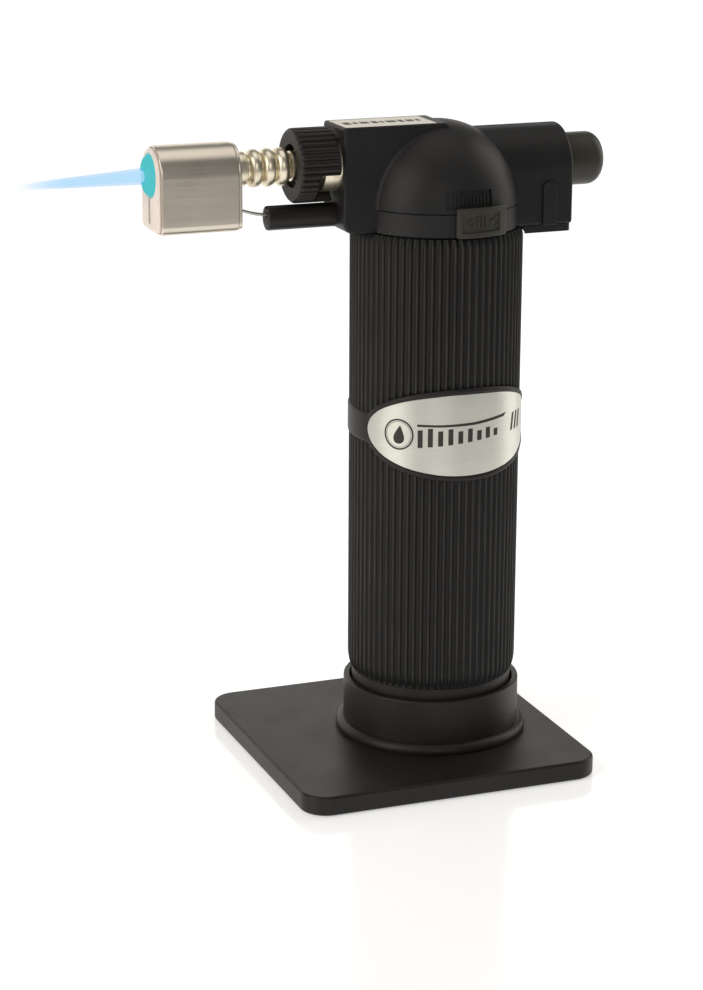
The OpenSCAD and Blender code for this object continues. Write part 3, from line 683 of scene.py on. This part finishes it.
def frontBlock(inset):
    x, bottom = head["blockFront"] + inset, head["blockBottom"] + inset
    top = head["split"] + head["domeRadius"] - inset
    side = roundOff([(x, bottom, head["blockCorner"]), (0, bottom, 0), (0, top, 0), (x, top, 0)], 8)
    half = head["blockHalf"] - inset
    return soften(prism(side, -half, half, across="y"), head["edge"] if inset == 0 else 0.2, 4)


def rearBlock(inset):
    half, bottom, axis = head["rearHalf"] - inset, head["rearBottom"] + inset, head["rearAxis"]
    outline = [(-half, bottom), (half, bottom), *arc(0, axis, half, 0, 180, 48)]
    block = prism(outline, 0, head["rearBack"] - inset * 1.4, across="x")
    return soften(block, head["edge"] if inset == 0 else 0.2, 4)


def blockFillet(side):
    # a ring of fillet where the dome meets one side of the front block
    radius, split, flatY, round = head["domeRadius"], head["split"], head["blockHalf"], head["fillet"]
    centre = flatY + round
    reach = math.sqrt((radius + round) ** 2 - centre ** 2)
    touch = math.degrees(math.atan2(centre, reach))
    outline = [(r, side * y) for r, y in arc(reach, centre, round, 180 + touch, 270, 8)]
    outline += [(reach, side * (flatY - 0.5)), (reach - 3, side * (flatY - 0.5))]
    ring = turned(outline, (0, 0, split), "y", 144)
    return carve(ring, box((-40, -40, 120), (40, 40, split)), box((0, -40, 120), (40, 40, 230)))


def makeShells():
    split, top = head["split"], head["split"] + head["domeRadius"]
    shell = dome(0)
    rib, reach = head["ribX"], head["rearHalf"] + head["ribRise"]
    half = head["ribHalf"]
    sideRibs = prism(roundOff([(rib - half, head["rearBottom"], 0), (rib + half, head["rearBottom"], 0),
                               (rib + half, head["ribTop"], 2.25), (rib - half, head["ribTop"], 2.25)], 10),
                     -reach, reach, across="y")
    soften(sideRibs, 0.35, 3, 40)
    fuse(shell, frontBlock(0), rearBlock(0), sideRibs, blockFillet(-1), blockFillet(1))
    carve(shell, dome(head["wall"], 96), frontBlock(head["wall"]), rearBlock(head["wall"]))
    bosses = [rod(-head["blockHalf"] + 0.5, head["blockHalf"] - 0.5, head["bossRadius"], "y",
                  head["screws"][0][:2], 32),
              combine(rod(-18, 18, head["bossRadius"], "y", head["screws"][1][:2], 32), "INTERSECT",
                      [dome(0.6, 96)]),
              rod(-head["rearHalf"] + 0.5, head["rearHalf"] - 0.5, head["bossRadius"], "y",
                  head["screws"][2][:2], 32)]
    fuse(shell, *bosses)
    labelLow, labelHigh = boxOf("top_label")
    panelX, panelZ = head["panel"]
    wide, tall = head["panelSize"]
    panel = carve(box((panelX - wide / 2, -30, panelZ - tall / 2),
                      (panelX + wide / 2, -15, panelZ + tall / 2)),
                  dome(head["panelDepth"], 160))
    carve(shell,
          rod(150, split + 0.6, head["ringInner"], "z", steps=160),
          *[rod(start, end, hole, "x", (0, axis), facets)
            for start, end, hole, axis, facets in head["bores"]],
          box((28, -10, 160), (37, 10, head["rearBottom"] + 2.1)),
          box((labelLow.x - 0.15, labelLow.y - 0.15, top - head["labelRecess"] - 0.05),
              (labelHigh.x + 0.15, labelHigh.y + 0.15, top + 1)),
          panel,
          *[rod(seat, 30, head["screwRadius"], "y", (x, z), 32) for x, z, seat in head["screws"]])
    right = copyOf(shell)
    seam = 0.04
    combine(shell, "INTERSECT", [box((-60, -40, 150), (60, -seam, 210))])
    combine(right, "INTERSECT", [box((-60, seam, 150), (60, 40, 210))])
    finished(shell, "headShellLeft", ["head_shell_left"])
    finished(right, "headShellRight", ["head_shell_right"])


def makeRing():
    # the ring under the dome, with its skirt inside the grip and the slot that the lock's foot runs in
    low, high = boxOf("head_ring")
    outer, inner = head["domeRadius"], head["ringInner"]
    step = head["rearBottom"] + 0.1
    ring = turned([(inner, step + 0.8), (inner - 1.8, step + 0.8), (inner - 1.8, low.z), (22.7, low.z),
                   (22.7, step),
                   (outer - 0.3, step), (outer, step + 0.3), (outer, high.z - 0.25), (outer - 0.25, high.z),
                   (inner, high.z)], steps=160)
    half, rear = head["blockHalf"] + 0.1, head["rearHalf"] + 0.1
    slot = wrapRound(box((-4, -4, 167.6), (7, 3, 170.4)), outer, 0)
    carve(ring, box((-40, -half, step), (0, half, 180)), box((0, -rear, step - 0.2), (40, rear, 180)), slot)
    finished(ring, "headRing", ["head_ring"])


def makePanelMarks():
    # raised bars of uneven height in the dome's panel
    panelX, panelZ = head["panel"]
    bars = []
    for i in range(11):
        x = panelX - 6 + i * 1.2
        tall = 1.4 if i % 3 else 1.8
        bars.append(soften(box((x - 0.33, -30, panelZ - tall), (x + 0.33, -12, panelZ + tall)), 0.1, 2))
    whole = combine(joined(bars), "INTERSECT", [dome(0.12, 160)])
    carve(whole, dome(0.8, 96))
    finished(whole, "panelMarks", [], ride="head_shell_left")


labelLook = {"corner": 0.6, "margin": 2, "gap": 0.9, "halfTall": 1.5, "halfTaller": 1.9, "lift": 0.04,
             "dashes": (2.1, 1.3, 2.8, 1.8, 1.0, 3.0, 1.5, 2.3, 1.1)}


def makeLabel():
    low, high = boxOf("top_label")
    outline = rounded(low, high, labelLook["corner"], 5)
    finished(soften(prism(outline, low.z, high.z), 0.08, 2), "topLabel", ["top_label"])
    dashes = []
    x = low.x + labelLook["margin"]
    for i, long in enumerate(labelLook["dashes"]):
        tall = labelLook["halfTall"] if i % 3 else labelLook["halfTaller"]
        dashes.append(box((x, -tall, high.z), (x + long, tall, high.z + labelLook["lift"])))
        x += long + labelLook["gap"]
    finished(joined(dashes), "labelMarks", [], printPaint, ride="top_label")


def makeRearPieces():
    low, high = boxOf("rear_bottom_cover")
    corner = 1.5
    cover = prism(roundOff([(18, low.y, 0), (high.x, low.y, corner), (high.x, high.y, corner),
                            (18, high.y, 0)]),
                  low.z, high.z)
    carve(cover, rod(150, 180, ribLook["crestRadius"] + 0.35, "z", steps=160))
    finished(soften(cover, 0.35, 3), "rearBottomCover", ["rear_bottom_cover"])
    low, high = boxOf("rear_pad")
    corner = 1.2
    pad = prism(rounded(low.yz, high.yz, corner), low.x, high.x, across="x")
    finished(soften(pad, 0.3, 3), "rearPad", ["rear_pad"])


makeShells()
makeRing()
makePanelMarks()
makeLabel()
makeRearPieces()
print("stage: head made")


# Controls

lock = {"middle": 9.5, "halfAngle": 19, "inner": 24.7, "face": 26.3, "bottom": 165.4, "top": 174.1,
        "frame": 1.5, "recess": 0.55, "corner": 0.7, "tongueTop": 177}
button = {"radius": 8, "axis": 182.5, "guideRadius": 5.35, "armHalf": 2.5, "bridgeFoot": 176,
          "bridgeThick": 3.6, "round": 4, "boreRadius": 6.6, "boreEnd": 49.7, "innerEnd": 31.5,
          "armLow": 5.4, "armHigh": 7.4}


def makeLock():
    face, thick = lock["face"], lock["face"] - lock["inner"]
    half = math.radians(lock["halfAngle"]) * face
    bottom, top, corner = lock["bottom"], lock["top"], lock["corner"]
    body = prism(rounded((-half, bottom), (half, top), corner), -thick, 0, across="y")
    edge = lock["frame"]
    body = carve(soften(body, 0.3, 3),
                 soften(box((-half + edge, -lock["recess"], bottom + edge),
                            (half - edge * 2, 2, top - edge)), 0.25, 2))
    marksLow, marksHigh, deep = bottom + 2.6, top - 2.6, -lock["recess"] - 0.2
    lift = -lock["recess"] + 0.3
    signs = [turned([(0.75, deep), (1.3, deep), (1.3, lift), (0.75, lift)],
                    (-4.2, 0, (marksLow + marksHigh) / 2), "y", 32)]
    signs += [box((x, deep, marksLow), (x + 0.6, lift, marksHigh)) for x in (-2.2, -0.9, 0.4)]
    signs.append(prism([(2, marksLow + 1.7), (3.6, marksLow + 0.7), (3.6, marksHigh - 0.7)], deep, lift,
                       across="y"))
    signs += [rod(deep, lift, 0.42, "y", (4.7, z), 24) for z in (marksLow + 0.5, marksHigh - 0.5)]
    fuse(body, joined(signs))
    wrapRound(body, face, lock["middle"])
    stem = wrapRound(box((-2.1, -3.4, 168), (2.1, -1.4, 170)), face, lock["middle"])
    foot = wrapRound(soften(box((-3.2, -6, 167), (3.2, -4.4, 171)), 0.2, 2), face, lock["middle"])
    tongue = wrapRound(soften(box((-1.6, -6.8, 167), (1.6, -5.4, lock["tongueTop"])), 0.2, 2), face,
                       lock["middle"])
    finished(joined([body, stem, foot, tongue]), "lockSlider", ["lock_slider"])


def makeButton():
    low, high = boxOf("ignition_button")
    radius, axis, edge = button["radius"], button["axis"], button["round"]
    guide, arm = button["guideRadius"], button["armHalf"]
    end, start = high.x, button["innerEnd"]
    cup = turned([(guide, start), (radius - 0.2, start), (radius, start + 0.2), (radius, end - edge),
                  *[(y, x) for x, y in arc(end - edge, radius - edge, edge, 90, 0, 12)], (0, end),
                  (0, button["boreEnd"]), (button["boreRadius"], button["boreEnd"]),
                  (button["boreRadius"], start + 1), (guide, start + 1)], (0, 0, axis), "x", 128)
    arms = []
    for near, far in ((-button["armHigh"], -button["armLow"]), (button["armLow"], button["armHigh"])):
        arms.append(soften(box((low.x, near, axis - arm), (start + 1.5, far, axis + arm)), 0.3, 2))
    bridge = soften(box((low.x, -button["armHigh"], button["bridgeFoot"]),
                        (low.x + button["bridgeThick"], button["armHigh"], axis + arm)), 0.3, 2)
    for arm in arms:
        carve(arm, rod(start - 0.6, start + 3, button["boreRadius"], "x", (0, axis), 64))
    finished(joined([cup, *arms, bridge]), "ignitionButton", ["ignition_button"])


makeLock()
makeButton()
print("stage: controls made")


# Burner

burner = {"axis": 185.2, "ridges": 34, "ridgeDepth": 0.55, "frontHole": 6.4, "bore": 8.06, "frontWall": 1.5,
          "windowHalf": 6, "windowFront": -41.2, "windowTurns": (-48, 132), "tubeBore": 3, "bulges": 3,
          "neck": 4.2, "neckEnd": -63.9, "sleeveEnd": -60.9, "seat": 3.95, "seatStart": -45.1,
          "bulge": 2.15, "bulgeRoot": 3.5, "bulgePitch": 4.15, "bulgeFirst": -58.1, "sleeve": 5.1}
shield = {"radius": 8.6, "bottom": 168.3, "corner": 2.7, "wall": 0.8, "lift": -0.4, "mouth": 6.2,
          "slotHalf": 1, "slotFoot": 171.7, "flangeInset": 0.4, "wireHole": 174, "rimSwell": 0.3}


def makeAirRing():
    low, high = boxOf("air_ring")
    radius, axis = high.y, burner["axis"]
    phases = [0, 0.12, 0.26, 0.42, 0.5, 0.6, 0.74, 0.88]

    def ring(x, outer, depth):
        points = []
        for i in range(burner["ridges"]):
            for phase in phases:
                turn = 2 * math.pi * (i + phase) / burner["ridges"]
                hump = abs(math.cos(math.pi * phase)) ** 0.5
                here = outer - depth * (1 - hump)
                points.append((x, here * math.cos(turn), axis + here * math.sin(turn)))
        return points

    deep, hole, bore = burner["ridgeDepth"], burner["frontHole"], burner["bore"]
    step = low.x + burner["frontWall"]
    knob = loft([ring(high.x, bore, 0), ring(step, bore, 0), ring(step, hole, 0),
                 ring(low.x + 0.3, hole, 0),
                 ring(low.x, hole + 0.3, 0), ring(low.x, radius - 0.95, 0),
                 ring(low.x + 0.12, radius - 0.7, 0.05),
                 ring(low.x + 0.45, radius - 0.25, deep * 0.7), ring(low.x + 0.8, radius - 0.04, deep),
                 ring(low.x + 1.2, radius, deep), ring(high.x - 0.9, radius, deep),
                 ring(high.x - 0.4, radius - 0.08, deep), ring(high.x, radius - 0.5, deep * 0.4)])
    half, front = burner["windowHalf"], burner["windowFront"]
    for turn in burner["windowTurns"]:
        window = prism(roundOff([(front, -half, 1.2), (high.x + 1, -half, 0), (high.x + 1, half, 0),
                                 (front, half, 1.2)]),
                       -radius - 1, -5)
        window = turnedAbout(window, turn)
        carve(knob, window)
    finished(knob, "airRing", ["air_ring"], knobLitFacePaint, crease=42)


def turnedAbout(shape, turn):
    # turns a shape drawn under the X axis round it, then lifts it to the burner's axis
    centred = Matrix.Translation((0, 0, burner["axis"]))
    shape.data.transform(centred @ Matrix.Rotation(math.radians(turn), 4, "X"))
    return shape


def makeTube():
    low, high = boxOf("burner_tube")
    bore, root, size, sleeve = burner["tubeBore"], burner["bulgeRoot"], burner["bulge"], burner["sleeve"]
    neck, neckEnd, sleeveEnd = burner["neck"], burner["neckEnd"], burner["sleeveEnd"]
    outline = [(bore, low.x), (neck - 0.2, low.x), (neck, low.x + 0.2), (neck, neckEnd),
               (sleeve - 0.2, neckEnd),
               (sleeve, neckEnd + 0.2), (sleeve, sleeveEnd - 0.4), (sleeve - 0.4, sleeveEnd),
               (4, sleeveEnd + 0.2)]
    half = burner["bulgePitch"] / 2
    valley = math.degrees(math.acos(half / size))
    for i in range(burner["bulges"]):
        middle = burner["bulgeFirst"] + i * burner["bulgePitch"]
        outline += [(y, x) for x, y in arc(middle, root, size, 180 - valley, valley, 16)]
    seat, start = burner["seat"], burner["seatStart"]
    outline += [(3.9, start - 2.1), (4.4, start - 1.7), (4.4, start - 0.2), (seat, start),
                (seat, high.x - 0.2), (seat - 0.2, high.x), (bore, high.x)]
    finished(turned(outline, (0, 0, burner["axis"]), "x", 96), "burnerTube", ["burner_tube"], crease=40)


def shieldOutline(radius, x, steps=32):
    # round on top and flat below, drawn across the X axis
    upper = burner["axis"] + shield["lift"]
    inset = shield["radius"] - radius
    low, corner = shield["bottom"] + inset, shield["corner"] - inset
    side = arc(0, upper, radius, 0, 180, steps)
    side += [(-radius, upper + (low + corner - upper) * k / 6) for k in range(1, 6)]
    side += arc(corner - radius, low + corner, corner, 180, 270, 8)
    side += [((radius - corner) * k / 3, low) for k in range(-2, 3)]
    side += arc(radius - corner, low + corner, corner, 270, 360, 8)
    side += [(radius, low + corner + (upper - low - corner) * k / 6) for k in range(1, 6)]
    return [(x, y, z) for y, z in side]


def makeShield():
    low, high = boxOf("nozzle_shield")
    radius = shield["radius"]
    inner = radius - shield["wall"]
    lip = [(inner + 0.02, 0.9), (inner + 0.05, 0.3), (inner + 0.2, 0.08), (inner + 0.35, 0),
           (radius - 0.2, 0.06), (radius - 0.06, 0.25), (radius, 0.6)]
    rings = [shieldOutline(r, low.x + x) for r, x in lip]
    rings += [shieldOutline(radius, high.x - 0.5), shieldOutline(radius - 0.12, high.x - 0.1),
              shieldOutline(radius - 0.3, high.x), shieldOutline(inner, high.x),
              shieldOutline(inner, low.x + 1)]
    finished(loft(rings), "nozzleShield", ["nozzle_shield"], crease=40)
    low, high = boxOf("shield_flange")
    rim = radius - shield["flangeInset"]
    flange = loft([shieldOutline(rim - 0.3, low.x), shieldOutline(rim - 0.1, low.x + 0.08),
                   shieldOutline(rim, low.x + 0.3),
                   shieldOutline(rim, high.x - 0.3), shieldOutline(rim - 0.1, high.x - 0.08),
                   shieldOutline(rim - 0.3, high.x)], closed=False)
    carve(flange, rod(low.x - 1, high.x + 1, 4.3, "x", (0, burner["axis"])),
          rod(low.x - 1, high.x + 1, 1.1, "x", (0, shield["wireHole"]), 32))
    finished(flange, "shieldFlange", ["shield_flange"], crease=40)


def makeCeramic():
    low, high = boxOf("ceramic_insert")
    radius = shield["radius"] - shield["wall"] - 0.1
    rim = [(1.5, 0.02), (1.1, 0.05), (0.7, 0.16), (0.4, 0.34), (0.18, 0.58), (0.05, 0.86), (0, 1.2)]
    rings = [shieldOutline(radius + shield["rimSwell"] - inset, low.x + x) for inset, x in rim[:-1]]
    rings += [shieldOutline(radius, low.x + rim[-1][1]), shieldOutline(radius, high.x - 0.3),
              shieldOutline(radius - 0.3, high.x)]
    plug = loft(rings, closed=False)
    upper = burner["axis"] + shield["lift"]
    lower, half = shield["slotFoot"], shield["slotHalf"]
    mouth = turned([(0, low.x - 1), (shield["mouth"] + 0.6, low.x - 1),
                    (shield["mouth"] + 0.6, low.x - 0.05),
                    (shield["mouth"] + 0.2, low.x + 0.2), (shield["mouth"], low.x + 0.7),
                    (shield["mouth"], high.x + 1), (0, high.x + 1)], (0, 0, upper), "x", 96)
    slot = prism([(-half, upper), *arc(0, lower, half, 180, 360, 16), (half, upper)], low.x - 1,
                 high.x + 1, across="x")
    carve(plug, fuse(mouth, slot))
    finished(plug, "ceramicInsert", ["ceramic_insert"], crease=40)


electrode = {"axis": 170.2, "radius": 3.6, "stem": 2.5, "shoulder": -33.1, "grooveHalf": 0.7,
             "grooveEnd": -36, "wireRadius": 0.5,
             "route": ((-49.5, 0, 171.2), (-54.5, 0, 171.35), (-58, 0, 171.9), (-62, 0, 173.1),
                       (-64.5, 0, 174), (-68, 0, 174.9), (-74, 0, 176.2), (-77, 0, 179.6))}


def makeElectrode():
    low, high = boxOf("electrode_holder")
    axis, radius, stem, shoulder = [electrode[k] for k in ("axis", "radius", "stem", "shoulder")]
    holder = turned([(0, low.x), (radius - 0.35, low.x), (radius - 0.1, low.x + 0.1),
                     (radius, low.x + 0.35),
                     (radius, shoulder), (stem, shoulder), (stem, high.x), (0, high.x)], (0, 0, axis),
                    "x", 96)
    groove = electrode["grooveHalf"]
    carve(holder, box((low.x - 1, -groove, axis + 2.7), (electrode["grooveEnd"], groove, axis + 6)),
          rod(low.x - 1, electrode["route"][0][0] + 0.5, 0.9, "x", (0, axis + 1), 32))
    finished(holder, "electrodeHolder", ["electrode_holder"], crease=35)
    finished(sweep(electrode["route"], electrode["wireRadius"]), "electrodeWire", ["electrode_wire"],
             crease=60)


makeAirRing()
makeTube()
makeShield()
makeCeramic()
makeElectrode()
print("stage: burner made")


# The pieces whose frame shape is already right

softenedNodes = ("housing_screws", "burner_block", "gas_jet", "fill_valve_body", "flame_holder",
                 "valve_lever")
for name, node in frame["nodes"].items():
    if node.hide_render:
        continue
    node.data.materials.clear()
    node.data.materials.append(paints[slotOf[name]].material)
    if name in softenedNodes:
        edge = node.modifiers.new("edge", "BEVEL")
        edge.width = 0.12 / perMetre
        edge.segments = 2
        edge.limit_method = "ANGLE"
        edge.angle_limit = math.radians(40)
print("stage: frame nodes painted")


# Stage, light and camera

flame = {"length": 42, "droop": -1.2, "start": -89, "jets": (
    # name, mouth radius, tip radius, colour, share of the background that shows through
    ("flameHaze", 2.6, 0.9, tint(96, 186, 245), 0.72), ("flameCore", 1.7, 0.5, tint(206, 238, 255), 0.4))}
glow = {"radius": 6.1, "front": -91.5, "colour": tint(84, 196, 200)}
camera = {"target": (-23.36, 9.06, 80.37), "azimuth": -21.2, "elevation": 16.3, "roll": 0.267,
          "distance": 848.27, "lens": 100.08, "sensor": 36}
lampColour = (1, 0.965, 0.92)
lights = [  # name, place, aim, width, height, power, all in metres and watts
    ("leftSoftbox", (-0.95, -0.25, 0.55), (0, 0, 0.12), 0.7, 1.1, 5.8),
    ("rightSoftbox", (0.95, 0.1, 0.5), (0, 0, 0.12), 0.6, 1.1, 4.5),
    ("backSoftbox", (-0.1, 1.4, 0.55), (0, 0, 0.3), 2.4, 1.1, 9),
    ("topSoftbox", (0, 0, 1.2), (0, 0, 0), 0.9, 0.9, 2.4),
    ("frontFill", (-0.4, -1.5, 0.7), (0, 0, 0.1), 0.9, 0.9, 3.2),
]


def glowPaint(name, colour, clear):
    # a see-through glow; clear says how much of what is behind shows at a spot
    paint = Paint(name)
    paint.shader.inputs["Base Color"].default_value = (0, 0, 0, 1)
    paint.shader.inputs["Specular IOR Level"].default_value = 0
    paint.shader.inputs["Emission Color"].default_value = colour
    paint.shader.inputs["Emission Strength"].default_value = 1
    behind = paint.node("ShaderNodeBsdfTransparent")
    mixed = paint.node("ShaderNodeMixShader", {},
                       {"Fac": clear(paint), "Shader": Signal(paint, paint.shader.outputs["BSDF"]),
                                                   "Shader_001": behind})
    paint.tree.links.new(mixed.socket, paint.output.inputs["Surface"])
    return paint


studioFloor = {"radius": 0.9, "fadeFrom": 560, "fadeTo": 860, "glow": 0.42, "lift": -0.0002}


def makeFloor():
    # a pale disc that fades into the white surround
    paint = Paint("paleFloor", Roughness=0.14, Specular_IOR_Level=0.5,
                  Emission_Strength=studioFloor["glow"])
    paint.shader.inputs["Emission Color"].default_value = (1, 1, 1, 1)
    dust = paint.noise(0.02, 3)
    paint.wear(Base_Color=paint.blend(dust, (0.9, 0.9, 0.9, 1), (0.94, 0.94, 0.93, 1)),
               Alpha=1 - paint.ease(paint.fromAxis(), studioFloor["fadeFrom"], studioFloor["fadeTo"]))
    rim = arc(0, 0, studioFloor["radius"], 0, 357.5, 143)
    floor = shapeFrom([(x, y, studioFloor["lift"]) for x, y in rim], [tuple(range(len(rim)))])
    floor.name = "floor"
    floor.data.materials.append(paint.material)


def stageGlow(shape, name, paint):
    shape.data.transform(Matrix.Scale(1 / perMetre, 4))
    shape.name = name
    shape.data.materials.append(paint.material)
    shape.data.shade_smooth()
    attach(shape, bodyOf["nozzle_shield"])


def makeFlame():
    start, length, droop = flame["start"], flame["length"], flame["droop"]
    middle = burner["axis"] + shield["lift"]
    turns = [2 * math.pi * i / 32 for i in range(32)]
    for name, mouth, tip, colour, clear in flame["jets"]:
        def fade(paint):
            # 1 is fully clear; the tip thins out over its last stretch
            return 1 - (1 - clear) * paint.ease(paint.axis("X"), start - length, start - length * 0.55)

        rings = []
        for k in range(25):
            t = k / 24
            radius = mouth + (tip - mouth) * t ** 0.8
            rings.append([(start - length * t, radius * math.cos(a),
                           middle + droop * t + radius * math.sin(a))
                          for a in turns])
        stageGlow(loft(rings, closed=False), name, glowPaint(name, colour, fade))
    radius, front = glow["radius"], glow["front"]
    bowl = turned([(0, front), (radius * 0.5, front + 0.3), (radius * 0.85, front + 0.9),
                   (radius, front + 2), (radius, front + 3.4), (0, front + 3.4)], (0, 0, middle), "x", 64)
    stageGlow(bowl, "mouthGlow", glowPaint("mouthGlow", glow["colour"],
                                           lambda paint: 0.08 * paint.noise(0.5)))


def makeWorld():
    world = bpy.data.worlds.new("studio")
    bpy.context.scene.world = world
    world.use_nodes = True
    tree = world.node_tree
    background = tree.nodes["Background"]
    rays = tree.nodes.new("ShaderNodeLightPath")
    mix = tree.nodes.new("ShaderNodeMix")
    mix.data_type = "RGBA"
    colours = [s for s in mix.inputs if s.type == "RGBA"]
    colours[0].default_value = (0.13, 0.13, 0.13, 1)
    colours[1].default_value = (1.05, 1.05, 1.05, 1)
    tree.links.new(rays.outputs["Is Camera Ray"], mix.inputs[0])
    tree.links.new([s for s in mix.outputs if s.type == "RGBA"][0], background.inputs["Color"])


def makeLights():
    for name, place, aim, wide, tall, power in lights:
        lamp = bpy.data.lights.new(name, "AREA")
        lamp.shape = "RECTANGLE"
        lamp.size = wide
        lamp.size_y = tall
        lamp.energy = power
        lamp.color = lampColour
        holder = bpy.data.objects.new(name, lamp)
        holder.location = place
        holder.rotation_euler = (Vector(aim) - Vector(place)).to_track_quat("-Z", "Y").to_euler()
        bpy.context.collection.objects.link(holder)


def makeCamera():
    lens = bpy.data.cameras.new("camera")
    lens.lens = camera["lens"]
    lens.sensor_width = camera["sensor"]
    lens.clip_start, lens.clip_end = 0.05, 20
    azimuth, elevation, roll = [math.radians(camera[k]) for k in ("azimuth", "elevation", "roll")]
    back = Vector((math.sin(azimuth) * math.cos(elevation), -math.cos(azimuth) * math.cos(elevation),
                   math.sin(elevation)))
    side = Vector((0, 0, 1)).cross(back).normalized()
    up = back.cross(side)
    right = side * math.cos(roll) + up * math.sin(roll)
    top = up * math.cos(roll) - side * math.sin(roll)
    holder = bpy.data.objects.new("camera", lens)
    place = (Vector(camera["target"]) + back * camera["distance"]) / perMetre
    holder.matrix_world = Matrix.Translation(place) @ Matrix((right, top, back)).transposed().to_4x4()
    bpy.context.collection.objects.link(holder)
    bpy.context.scene.camera = holder


makeFloor()
makeFlame()
makeWorld()
makeLights()
makeCamera()
bpy.context.scene.view_settings.view_transform = "Standard"
print("stage: studio made")
